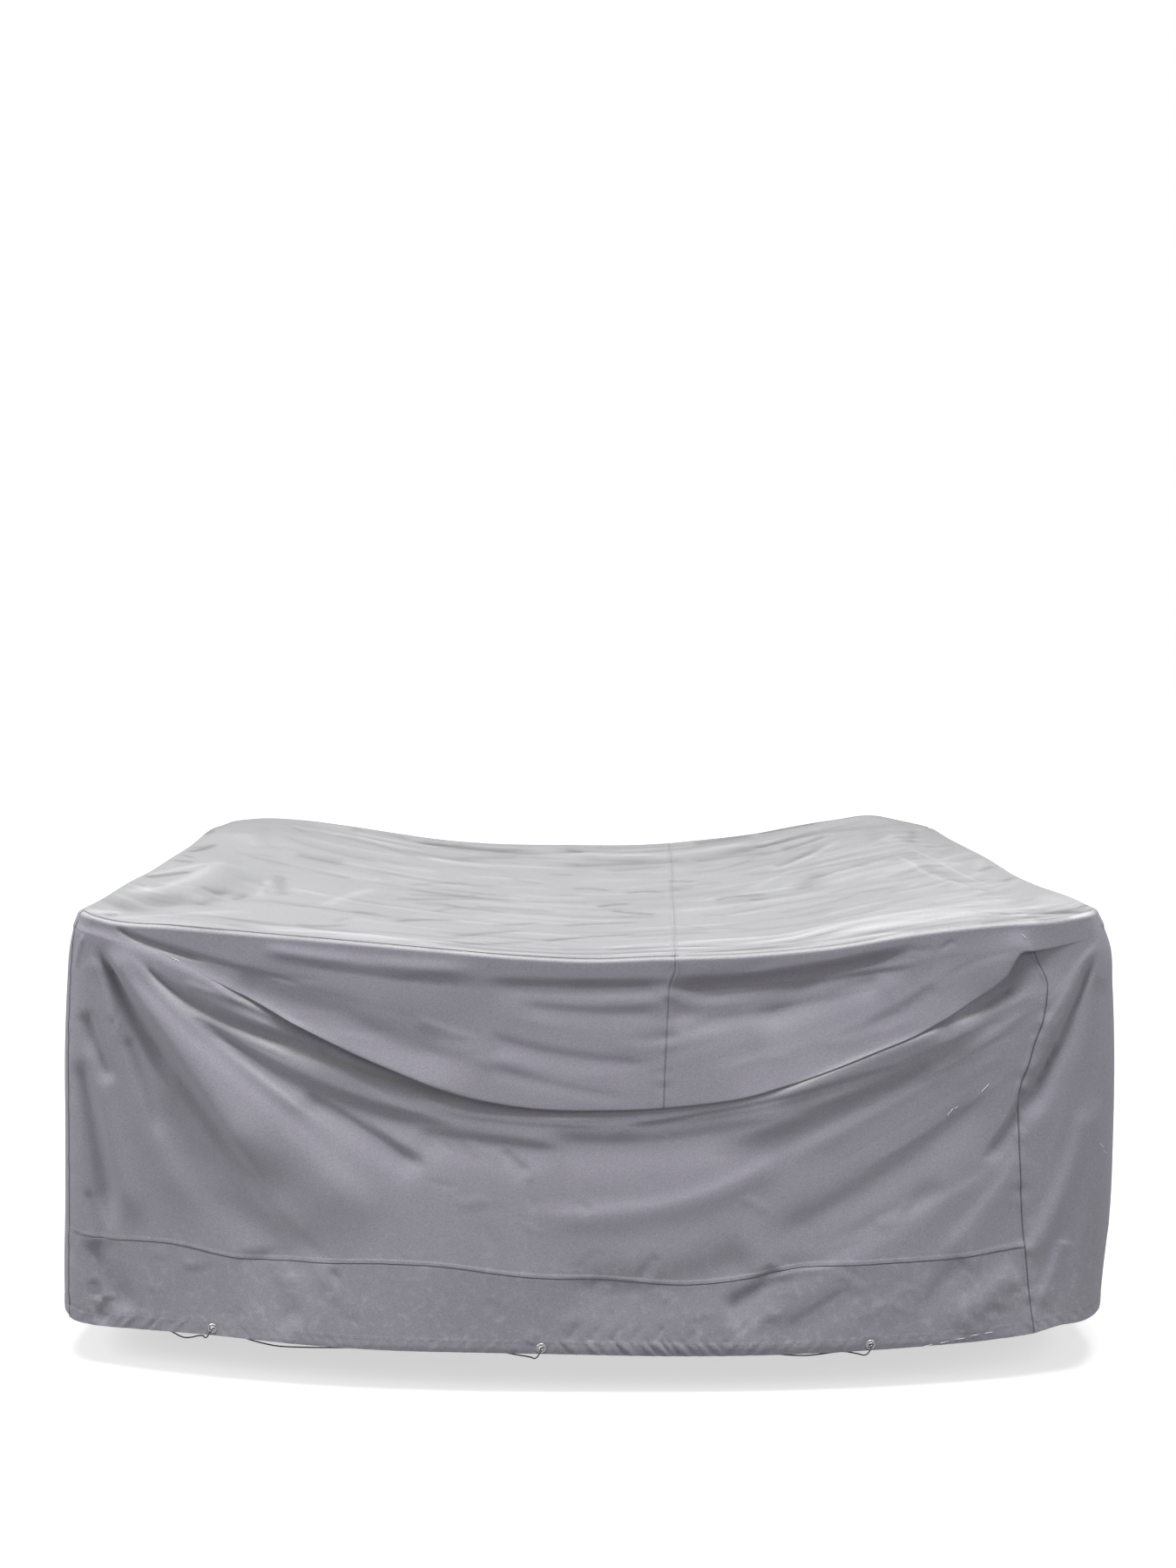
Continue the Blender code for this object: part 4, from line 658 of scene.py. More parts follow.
@dataclass
class FoldSet:
    """All the folds of one side of the cover, added up."""

    folds: list[Fold]

    @classmethod
    def of(cls, rows: tuple) -> "FoldSet":
        """The folds of a table, whose points and widths are in millimetres."""
        return cls([Fold(row[0], *(value / 1000 for value in row[1:9]), *row[9:]) for row in rows])

    @classmethod
    def strewn(cls, patches: tuple, seed: int) -> "FoldSet":
        """Small creases strewn over patches, the same ones at each run.

        Args:
            patches: rows of count, patch, direction, length, width and depth.
            seed: starts the random numbers.

        Returns:
            The creases as a fold set.
        """
        folds = []
        for k, patch in enumerate(patches):
            name, count, a_from, a_to, b_from, b_to, turn_from, turn_to, spread, long, wide, most = patch
            rng = np.random.default_rng(seed + k)
            share = rng.random(count)
            a = a_from + (a_to - a_from) * share
            b = rng.uniform(b_from, b_to, count)
            turn = np.radians(turn_from + (turn_to - turn_from) * share + rng.normal(0, spread, count))
            half = long * rng.uniform(0.25, 0.75, count)
            bow = half * rng.normal(0, 0.12, count)
            width = wide * rng.uniform(0.6, 1.5, count)
            steep = most * rng.uniform(0.3, 1.0, count) * np.where(rng.random(count) < 0.5, -1, 1)
            ca, sa = np.cos(turn), np.sin(turn)
            columns = (a - half * ca, b - half * sa, a - bow * sa, b + bow * ca, a + half * ca, b + half * sa,
                       width, width, steep)
            folds += [Fold(name, *values) for values in zip(*columns)]
        return cls(folds)

    def height(self, a: Array, b: Array) -> Array:
        """How far the folds move points out."""
        return self.relief(a, b)[0]

    def relief(self, a: Array, b: Array) -> tuple[Array, Array]:
        """The folds' heights and how marked they are: the height over the width.

        Args:
            a: the points' first coordinate.
            b: their second.

        Returns:
            The sum of the folds' heights, and the sum of their heights over their widths.
        """
        total, marked = np.zeros(a.size), np.zeros(a.size)
        flat_a, flat_b = a.ravel(), b.ravel()
        for fold in self.folds:
            line = fold.line()
            near = fold.near(*line, flat_a, flat_b)
            if len(near):
                steep, width = fold.relief(*line, flat_a[near], flat_b[near])
                total[near] += steep * width
                marked[near] += steep
        return total.reshape(a.shape), marked.reshape(a.shape)


@dataclass(frozen=True)
class Pucker:
    """How a seam gathers the cloth beside it: an irregular wave along it that fades to both sides."""

    height: float
    reach: float
    pitch: float
    phase: float

    def at(self, d: Array, along: Array) -> Array:
        """How far the cloth stands out at distance d from the seam, so far along it."""
        return self.height * bell(d, self.reach) * uneven(along, self.pitch, self.phase)


@dataclass
class CoverShape:
    """The cloth's outer surface: walls by loop column and row, the top by column and row."""

    half_depth: float = 0.80
    corner_level: float = 0.14
    wall_height: float = 0.92
    edge_radius: float = 0.009  # how the cloth rolls over the top's edge
    side_drop: float = 0.036  # how far the top panels reach down at the sides and the back
    side_lip: float = 0.002  # how far their lower edge stands out there
    band_level: float = -0.58  # the bottom band's seam at the sides and the back
    hem_level: float = -0.78
    hem_band: float = 0.026  # height of the turned-up hem
    hem_rise: float = 0.012  # how far the hem is pulled up at the front right corner
    rise_reach: float = 1.6  # over how many columns
    left_spread: float = 0.045  # the back left corner stands this much further out
    foot_spread: float = 0.02  # the front and back sides stand this much further out at the hem
    bulge_half: float = 1.16  # half the width of the front's and the back's swing outwards
    bulge_middle: float = 0.05  # x of the front's
    bulge_square: tuple[float, float] = (2.6, 2.4)  # how flat-topped the front's and the back's are
    front_bulge: tuple[float, float] = (0.015, 0.115)  # at the top, and how much more at the hem
    back_bulge: tuple[float, float] = (0.010, 0.05)
    lip_round: float = 0.005  # how far the apron's rounded lip hangs below its fold line
    lip_full: tuple[float, float] = (0.012, 0.018)  # a lip this thick hangs fully, and hides the seam fully
    seam_behind: tuple[float, float] = (-0.006, 0.009)  # the seam over the fold line: without a lip, and more
    tuck_reach: float = 0.9  # in rows
    lap: float = 0.0007  # how far a lapped seam stands out
    lap_width: float = 0.010
    lap_edges: tuple[float, float] = (0.0025, 0.0012)  # how softly it rises, and falls at the seam
    groove: float = 0.0005  # depth of the line of thread beside it
    groove_place: float = 0.0006
    groove_width: float = 0.0011
    seam_foot: float = 0.189  # x of the centre seam at the top's front edge
    seam_back: float = 0.267  # and at its back edge
    seam_reach: tuple[int, int, int, int] = (6, 6, 3, 14)  # leaning columns: centre, corner's sides, back
    top_relief: float = 0.4  # the top's creases are pulled flatter than their table says
    top_sag: float = 0.040
    top_half: tuple[float, float] = (1.11, 0.79)  # the sag's half width and half depth
    top_rim: tuple[float, float, float] = (1.09, 0.775, 0.08)  # the creases end at these, over this width
    hem_doubled: float = 0.0004  # how far the turned-up hem stands out
    hem_slant: float = 0.9  # how far its gathers lean
    hem_gather: Pucker = Pucker(0.0032, 0.014, 0.024, 1.9)
    gather_middle: float = 0.016  # above the hem's edge
    # (x, width, how much stronger) of the places where the front hem is gathered most, and the rest
    gather_places: Rows = ((0.14, 0.24, 1.0), (-1.0, 0.09, 0.9))
    gather_least: float = 0.35
    band_pucker: Pucker = Pucker(0.0006, 0.016, 0.043, 0.4)
    corner_pucker: Pucker = Pucker(0.0013, 0.016, 0.050, 1.3)
    centre_pucker: Pucker = Pucker(0.0009, 0.020, 0.036, 2.2)
    upright_pucker: Pucker = Pucker(0.0010, 0.018, 0.061, 0.7)
    top_pucker: Pucker = Pucker(0.0012, 0.022, 0.052, 0.9)
    side_column: float = 0.032  # width of a side's or the back's column, about
    side_way: float = 0.1  # way round to a column there, for the puckers
    seats: list["Seat"] = field(default_factory=list)

    def __post_init__(self) -> None:
        """Makes the fold sets."""
        self.front_folds = FoldSet.of(FRONT_FOLDS)
        self.front_creases = FoldSet.strewn(FRONT_CREASES, 11)
        self.top_folds = FoldSet.of(TOP_FOLDS)
        self.top_swells = FoldSet.of(TOP_SWELLS)
        self.top_creases = FoldSet.strewn(TOP_CREASES, 41)
        self.right_folds, self.left_folds = FoldSet.of(RIGHT_FOLDS), FoldSet.of(LEFT_FOLDS)
        self.back_folds = FoldSet.of(BACK_FOLDS)

    @staticmethod
    def column_x(u: Array) -> Array:
        """The nominal x of front column u."""
        counted = np.cumsum([ARC_SPANS] + [row[1] for row in COLUMNS[:-1]])
        return np.interp(u, counted, [row[0] for row in COLUMNS])

    def outline(self, s: Array, z: Array) -> tuple[Array, Array, Array, Array]:
        """Where loop column s stands at height z, seen from above.

        Four straight sides join four round corners. The front and back sides then swing out by a flat-topped
        curve that grows towards the hem.

        Args:
            s: loop columns.
            z: heights.

        Returns:
            x, y, and the outward direction's x and y.
        """
        s = np.mod(s, LOOP)
        left, right, radius = (through(WALLS, z, k) for k in (1, 2, 3))
        down = np.clip((self.corner_level - z) / self.wall_height, 0, 1)
        depth = self.half_depth + self.foot_spread * down
        back_left = left + self.left_spread * (1 - down)
        centres = ((-left + radius, -depth + radius), (right - radius, -depth + radius),
                   (right - radius, depth - radius), (-back_left + radius, depth - radius))
        normals = ((0, -1), (1, 0), (0, 1), (-1, 0))
        starts = (0, RIGHT_START, BACK_START, LEFT_START)
        x, y, nx, ny = (np.zeros_like(s) for _ in range(4))
        first, last = COLUMNS[0][0], COLUMNS[-1][0]
        for k in range(4):
            spans = FRONT_SPANS if k % 2 == 0 else SIDE_SPANS
            u = s - starts[k]
            here = (u >= 0) & (u <= spans)
            into = np.clip((ARC_SPANS - u) / ARC_SPANS, 0, 1) * math.pi / 4
            out = np.clip((u - spans + ARC_SPANS) / ARC_SPANS, 0, 1) * math.pi / 4
            if k == 0:
                share = (self.column_x(u) - first) / (last - first)
            elif k == 2:
                share = 1 - (self.column_x(spans - u) - first) / (last - first)
            else:
                share = np.clip((u - ARC_SPANS) / (spans - 2 * ARC_SPANS), 0, 1)
            n, before, after = normals[k], normals[k - 1], normals[(k + 1) % 4]
            dx, dy = (np.cos(into + out) * n[i] + np.sin(into) * before[i] + np.sin(out) * after[i]
                      for i in (0, 1))
            (x0, y0), (x1, y1) = centres[k], centres[(k + 1) % 4]
            x = np.where(here, x0 + share * (x1 - x0) + radius * dx, x)
            y = np.where(here, y0 + share * (y1 - y0) + radius * dy, y)
            nx, ny = np.where(here, dx, nx), np.where(here, dy, ny)
        front = np.clip(1 - np.abs((x - self.bulge_middle) / self.bulge_half) ** self.bulge_square[0], 0, 1)
        back = np.clip(1 - np.abs(x / self.bulge_half) ** self.bulge_square[1], 0, 1)
        front, back = front * np.clip(-ny, 0, 1), back * np.clip(ny, 0, 1)
        (front_least, front_more), (back_least, back_more) = self.front_bulge, self.back_bulge
        y = y - (front_least + front_more * down**1.5) * front + (back_least + back_more * down) * back
        return x, y, nx, ny

    def seam_shift(self, s: Array, z: Array) -> Array:
        """How far columns near a seam lean along X to follow it.

        Args:
            s: loop columns.
            z: heights.

        Returns:
            The shifts.
        """
        s = np.mod(s, LOOP)
        centre_x, corner_x = (self.outline(np.full_like(z, column), z)[0]
                              for column in (CENTRE_COLUMN, CORNER_SEAM_COLUMN))
        on_centre, before, behind, on_back = self.seam_reach
        centre = np.clip(1 - np.abs(s - CENTRE_COLUMN) / on_centre, 0, 1)
        target = through(CENTRE_SEAM, z) - centre_x
        shift = centre * target * smooth_step((z + 0.50) / 0.20)  # the seam ends above the skirt
        away = s - CORNER_SEAM_COLUMN
        corner = np.clip(np.where(away < 0, 1 + away / before, 1 - away / behind), 0, 1)
        shift = shift + corner * (through(CORNER_SEAM, z) - corner_x)
        back = np.clip(1 - np.abs(s - (LEFT_START - CENTRE_COLUMN)) / on_back, 0, 1)
        return shift + back * (self.seam_back - self.column_x(CENTRE_COLUMN))

    def lines(self, s: Array) -> tuple[Array, ...]:
        """The lines that run round the cover, from their tables on the front and level at the sides.

        Args:
            s: loop columns.

        Returns:
            The heights of the top edge, fold, band seam and hem, and the fold's lip and tuck.
        """
        s = np.mod(s, LOOP)
        x, y, _, _ = self.outline(s, np.full_like(s, self.corner_level))
        on_front = s <= RIGHT_START
        on_right = (s > RIGHT_START) & (s < BACK_START)
        on_back = (s >= BACK_START) & (s <= LEFT_START)
        sides = np.where(on_right, through(RIGHT_EDGE, y), through(LEFT_EDGE, y))
        edge = np.where(on_front, through(FRONT_EDGE, x), np.where(on_back, through(BACK_EDGE, x), sides))
        plain = edge - self.side_drop
        fold = np.where(on_front, np.minimum(through(FOLD_LINE, x), plain), plain)
        lip = np.where(on_front, through(FOLD_LINE, x, 2), self.side_lip)
        tuck = np.where(on_front, np.maximum(through(FOLD_LINE, x, 3), 0), 0.0)
        band = np.where(on_front, through(BAND_SEAM, x), self.band_level)
        raised = self.hem_rise * bell(s - RIGHT_START, self.rise_reach)
        hem = np.where(on_front, through(HEM, x), self.hem_level + np.where(on_right, raised, 0.0))
        return edge, fold, band, hem, lip, tuck

    def lapped(self, d: Array) -> Array:
        """The relief of a lapped seam at distance d from it: raised on its minus side, and a fine groove."""
        far, near = self.lap_edges
        raised = smooth_step((d + self.lap_width) / far) * (1 - smooth_step((d + near / 3) / near))
        return self.lap * raised - self.groove * bell(d - self.groove_place, self.groove_width)

    def seams(self, s: Array, r: Array, x: Array, z: Array, rows: tuple[Array, ...]) -> Array:
        """The relief of all seams, their puckers and the hem's, on the walls.

        Args:
            s: loop columns.
            r: rows.
            x: the points' x.
            z: their height.
            rows: what lines() gives.

        Returns:
            How far the cloth stands out there.
        """
        _, _, band, hem, _, _ = rows
        s = np.mod(s, LOOP)
        front = s <= RIGHT_START
        around = np.where(front, x, s * self.side_way)
        low = r > SEAM_ROW
        out = np.where(low, self.lapped(-(z - band)) * (s < CORNER_SEAM_COLUMN + 0.01), 0.0)
        out = out + self.band_pucker.at(z - band, around) * low
        d = x - through(CORNER_SEAM, z)
        out = out + np.where(front & low, self.lapped(d) + self.corner_pucker.at(d, z), 0.0)
        d = x - through(CENTRE_SEAM, z)
        doubled = self.lapped(d) + self.lapped(-d)
        out = out + np.where(front & ~low, doubled + self.centre_pucker.at(d, z), 0.0)
        for column in (0, BACK_START, LEFT_START, LOOP):
            d = (s - column) * self.side_column
            out = out + np.where(low, self.lapped(d) + self.upright_pucker.at(d, z), 0.0)
        return out + np.where(low, self.hem_relief(x, z - hem, around, front), 0.0)

    def hem_relief(self, x: Array, height: Array, around: Array, front: Array) -> Array:
        """The turned-up hem: its double cloth, and slanting gathers that are strongest where it is pulled in.

        Args:
            x: the points' x.
            height: their height above the hem's edge.
            around: their way round the cover.
            front: which of them are on the front.

        Returns:
            How far the cloth stands out there.
        """
        doubled = self.hem_doubled * (1 - smooth_step((height - self.hem_band - 0.0006) / 0.0015))
        strong = self.gather_least + sum(more * bell(x - at, wide) for at, wide, more in self.gather_places)
        slant = around + self.hem_slant * height * np.sign(uneven(around, 0.9, 0.5))
        gathers = self.hem_gather.at(height - self.gather_middle, slant)
        return doubled + np.where(front, strong, self.gather_least) * gathers

    def wall(self, s: Array, r: Array, fine: bool = True) -> Array:
        """The cloth's outer surface at loop column s and row r, below the top's edge.

        The rows' heights run from the rounded edge down the apron to its fold, round the lip to the seam
        behind it, and down skirt, band and hem. The point stands on the outline at that height, moved out by
        the lip, the folds, the creases and the seams.

        Args:
            s: loop columns.
            r: rows.
            fine: also seams and small creases.

        Returns:
            Points, with the coordinates in the last axis.
        """
        s, r = np.broadcast_arrays(np.asarray(s, float), np.asarray(r, float))
        rows = self.lines(s)
        edge, fold, band, hem, lip, tuck = rows
        radius = self.edge_radius
        turn = np.clip(r / ROLL_END, 0, 1) * math.pi / 2
        hangs, hides = self.lip_full
        bare, more = self.seam_behind
        seam = fold + bare + more * np.clip(lip / hides, 0, 1)
        marks = (ROLL_END, FOLD_ROW, SEAM_ROW, BAND_ROW, STITCH_ROW, HEM_ROW)
        heights = (edge - radius, fold, seam, band, hem + self.hem_band, hem)
        z = edge - radius * (1 - np.cos(turn))
        for (r0, z0), (r1, z1) in zip(zip(marks, heights), zip(marks[1:], heights[1:])):
            z = np.where(r > r0, z0 + (z1 - z0) * np.clip((r - r0) / (r1 - r0), 0, 1), z)
        round_lip = np.clip(r - FOLD_ROW, 0, 1)
        z = z - self.lip_round * np.clip(lip / hangs, 0, 1) * np.sin(math.pi * round_lip)
        stand = lip * smooth_step((r - ROLL_END) / (FOLD_ROW - ROLL_END))
        stand = np.where(r > FOLD_ROW, lip * np.cos(round_lip * math.pi / 2), stand)
        behind = np.where(r > SEAM_ROW, bell(r - SEAM_ROW, self.tuck_reach), round_lip**2)
        x, y, nx, ny = self.outline(s, z)
        x = x + self.seam_shift(s, z)
        out = stand - tuck * behind - radius * (1 - np.sin(turn))
        facing = smooth_step(np.clip(-ny, 0, 1) / 0.8)
        out = out + facing * self.front_folds.height(x, z)
        for toward, folds, along in ((nx, self.right_folds, y), (-nx, self.left_folds, y),
                                     (ny, self.back_folds, x)):
            out = out + smooth_step((toward - 0.6) / 0.4) * folds.height(along, z)
        if fine:
            out = out + facing * self.front_creases.height(x, z)
            out = out + self.seams(s, r, x, z, rows)
        points = np.stack([x + nx * out, y + ny * out, z], axis=-1)
        for seat in self.seats if fine else []:
            points = seat.flatten(points)
        return points

    def top(self, i: Array, j: Array) -> Array:
        """The cloth's outer surface over a grid of top columns i (left to right) and rows j (front to back).

        A Coons patch between the four top edges, dished by a flat-topped bowl and moved up by the folds.

        Args:
            i: columns, one axis.
            j: rows, one axis.

        Returns:
            Points, a row of the grid for each j.
        """
        zero = np.zeros(1)
        front, back = self.wall(i, zero), self.wall(LEFT_START - i, zero)
        left, right = self.wall(LOOP - j, zero), self.wall(RIGHT_START + j, zero)
        ends = [self.wall(np.full(1, float(k)), zero)[0] for k in (0, RIGHT_START, LEFT_START, BACK_START)]
        u = (front[:, 0] - ends[0][0]) / (ends[1][0] - ends[0][0])
        v = (right[:, 1] - ends[1][1]) / (ends[3][1] - ends[1][1])
        u, v = u[None, :, None], v[:, None, None]
        p = (1 - v) * front[None] + v * back[None] + (1 - u) * left[:, None] + u * right[:, None]
        p = p - (1 - u) * ((1 - v) * ends[0] + v * ends[2]) - u * ((1 - v) * ends[1] + v * ends[3])
        x, y = p[..., 0], p[..., 1]
        half_x, half_y = self.top_half
        inside = np.clip(1 - (x / half_x) ** 2, 0, 1) * np.clip(1 - (y / half_y) ** 2, 0, 1)
        rim_x, rim_y, rim_wide = self.top_rim
        rim = smooth_step(np.minimum(rim_x - np.abs(x), rim_y - np.abs(y)) / rim_wide)
        creased = self.top_folds.height(x, y) + self.top_creases.height(x, y)
        rise = rim * self.top_relief * creased + self.top_swells.height(x, y) - self.top_sag * inside
        share = np.clip((y + self.half_depth) / (2 * self.half_depth), 0, 1)
        d = x - (self.seam_foot + (self.seam_back - self.seam_foot) * share)
        p[..., 2] += rise + self.lapped(d) + self.lapped(-d) + self.top_pucker.at(d, y)
        return p


@dataclass
class Seat:
    """The flat place of the hem round an eyelet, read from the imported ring."""

    name: str
    column: float
    shape: CoverShape
    surface_below_front: float = 0.0015  # how far the cloth lies behind the ring's front
    flat: float = 0.013  # the cloth is flat this far from the hole's middle
    reach: float = 0.030  # and as it was from here

    def __post_init__(self) -> None:
        """Finds the ring's middle and axis: the axis is the direction in which its points spread least."""
        co = np.array([v.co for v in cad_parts[self.name].data.vertices], float)
        middle = (co.max(axis=0) + co.min(axis=0)) / 2
        _, _, axes = np.linalg.svd(co - co.mean(axis=0), full_matrices=False)
        _, _, nx, ny = self.shape.outline(np.array([self.column]), np.array([middle[2]]))
        self.normal = axes[2] * np.sign(axes[2] @ np.array([nx[0], ny[0], 0.0]))
        out = (co - middle) @ self.normal
        self.middle = middle + (out.max() - self.surface_below_front) * self.normal
        self.along = unit(np.cross([0.0, 0.0, 1.0], self.normal))
        self.up = np.cross(self.normal, self.along)

    def flatten(self, points: Array) -> Array:
        """Points near the ring, drawn onto its plane by a share that falls off with their distance.

        Args:
            points: any points of the cloth.

        Returns:
            The same, moved.
        """
        away = points - self.middle
        far = np.linalg.norm(away, axis=-1)
        share = 1 - smooth_step((far - self.flat) / (self.reach - self.flat))
        return points - (share * (away @ self.normal))[..., None] * self.normal

    def place(self, along: float, out: float, up: float) -> Array:
        """A point by its distance along the hem, outward and up from the hole's middle."""
        return self.middle + along * self.along + out * self.normal + up * self.up


@dataclass
class Sheet:
    """A patchwork of grids that becomes one closed thin mesh."""

    name: str
    thickness: float = 0.0015
    hole: float = 0.0064  # radius of the hole under an eyelet
    bands: int = 4  # bands of faces round it
    uv_drawn: float = 0.7  # how far its texture coordinates draw in
    sharp: float = 60.0  # degrees between faces from which an edge is sharp
    points: list[Array] = field(default_factory=list)
    faces: list[Array] = field(default_factory=list)
    uvs: list[Array] = field(default_factory=list)
    columns: list[Array] = field(default_factory=list)
    count: int = 0

    def grid(self, points: Array, uv: Array, column: Array,
             holes: list[tuple[int, int, int, int, Seat]] = ()) -> None:
        """Adds a grid whose rows run down and whose columns run to the right seen from outside.

        Args:
            points: the grid's points, rows by columns.
            uv: their texture coordinates in metres.
            column: the loop column of each of its columns.
            holes: row and column ranges to leave out and fill with a ring of faces round an eyelet's hole.
        """
        rows, columns = points.shape[:2]
        index = np.arange(rows * columns).reshape(rows, columns) + self.count
        keep = np.ones((rows - 1, columns - 1), bool)
        for r0, r1, c0, c1, _ in holes:
            keep[r0:r1, c0:c1] = False
        quads = np.stack([index[:-1, :-1], index[1:, :-1], index[1:, 1:], index[:-1, 1:]], axis=-1)
        self._add(points.reshape(-1, 3), uv.reshape(-1, 2), quads[keep], np.tile(column, rows))
        for r0, r1, c0, c1, seat in holes:
            self._ring(points, uv, r0, r1, c0, c1, seat)

    def _add(self, points: Array, uv: Array, quads: Array, column: Array) -> None:
        """Keeps a patch's arrays.

        Args:
            points: its points.
            uv: their texture coordinates.
            quads: its faces.
            column: its points' loop columns.
        """
        self.columns.append(column)
        self.points.append(points)
        self.uvs.append(uv)
        self.faces.append(quads.reshape(-1, 4))
        self.count += len(points)

    def _ring(self, points: Array, uv: Array, r0: int, r1: int, c0: int, c1: int, seat: Seat) -> None:
        """Faces between the border of a left-out cell and the eyelet's round hole, in bands.

        Args:
            points: the grid's points.
            uv: their texture coordinates.
            r0: the cell's first row.
            r1: its last row.
            c0: its first column.
            c1: its last column.
            seat: the eyelet's place.
        """
        border = [(r, c0) for r in range(r0, r1)] + [(r1, c) for c in range(c0, c1)]
        border += [(r, c1) for r in range(r1, r0, -1)] + [(r0, c) for c in range(c1, c0, -1)]
        rows, columns = np.array(border).T
        outer, outer_uv = points[rows, columns], uv[rows, columns]
        away = outer - seat.middle
        angle = np.arctan2(away @ seat.up, away @ seat.along)
        round_it = np.cos(angle)[:, None] * seat.along + np.sin(angle)[:, None] * seat.up
        circle = seat.middle + self.hole * round_it
        share = np.linspace(0.0, 1.0, self.bands + 1)[:, None, None]
        bands = (1 - share) * outer + share * circle
        centre = outer_uv.mean(axis=0)
        band_uv = (1 - self.uv_drawn * share) * outer_uv + self.uv_drawn * share * centre
        index = np.arange(bands[..., 0].size).reshape(-1, len(border)) + self.count
        columns = np.full(index.size, seat.column)
        self._add(bands.reshape(-1, 3), band_uv.reshape(-1, 2), quads_of(index), columns)

    def welded(self) -> tuple[Array, Array, Array, Array]:
        """All grids as one, with points that coincide made one.

        Returns:
            Points, texture coordinates, loop columns and faces.
        """
        points, uv = np.concatenate(self.points), np.concatenate(self.uvs)
        keys = np.round(points * 1e6).astype(np.int64)
        _, first, same = np.unique(keys, axis=0, return_index=True, return_inverse=True)
        quads = same.reshape(-1)[np.concatenate(self.faces)]
        return points[first], uv[first], np.concatenate(self.columns)[first], quads

    def build(self, material: bpy.types.Material, masks: "WearAndPaintedShade") -> bpy.types.Object:
        """The closed sheet: the outer skin, the same moved in along its normals, and a rim.

        Args:
            material: the cloth's finish.
            masks: gives each point its marks of wear and its painted shade.

        Returns:
            The new object.
        """
        points, uv, column, quads = self.welded()
        cross = np.cross(points[quads[:, 2]] - points[quads[:, 0]], points[quads[:, 3]] - points[quads[:, 1]])
        normals = np.zeros_like(points)
        for k in range(4):
            np.add.at(normals, quads[:, k], cross)
        normals = unit(normals)
        n = len(points)
        starts, ends = quads.ravel(), np.roll(quads, -1, axis=1).ravel()
        alone = ~np.isin(starts * n + ends, ends * n + starts)
        a, b = starts[alone], ends[alone]
        rim = np.stack([b, a, a + n, b + n], axis=-1)
        verts = np.concatenate([points, points - self.thickness * normals])
        faces = np.concatenate([quads, quads[:, ::-1] + n, rim])
        made = mesh_object(self.name + "_cloth", verts, faces, material, np.concatenate([uv, uv]))
        made.data.set_sharp_from_angle(angle=math.radians(self.sharp))
        for name, values in masks.of(points, normals, column, self.name).items():
            layer = made.data.attributes.new(name, "FLOAT", "POINT")
            layer.data.foreach_set("value", np.concatenate([values, values]).astype(np.float32))
        log.info("%s: %d points, %d triangles", self.name, len(verts), 2 * len(faces))
        return made


def mesh_object(name: str, points: Array, faces: Array, material: bpy.types.Material,
                uv: Array | None = None) -> bpy.types.Object:
    """A smooth mesh object of faces with equally many corners.

    Args:
        name: the object's name.
        points: its points.
        faces: an array of point numbers, a row for each face.
        material: its finish.
        uv: a texture coordinate for each point.

    Returns:
        The object, linked to the scene.
    """
    sides = faces.shape[1]
    mesh = bpy.data.meshes.new(name)
    mesh.vertices.add(len(points))
    mesh.vertices.foreach_set("co", np.ascontiguousarray(points, np.float32).ravel())
    mesh.loops.add(faces.size)
    mesh.loops.foreach_set("vertex_index", np.ascontiguousarray(faces, np.int32).ravel())
    mesh.polygons.add(len(faces))
    mesh.polygons.foreach_set("loop_start", np.arange(len(faces), dtype=np.int32) * sides)
    mesh.update(calc_edges=True)
    mesh.polygons.foreach_set("use_smooth", np.ones(len(faces), bool))
    if uv is not None:
        layer = mesh.uv_layers.new(name="UVMap")
        layer.data.foreach_set("uv", uv[faces.ravel()].astype(np.float32).ravel())
    mesh.materials.append(material)
    made = bpy.data.objects.new(name, mesh)
    bpy.context.scene.collection.objects.link(made)
    return made


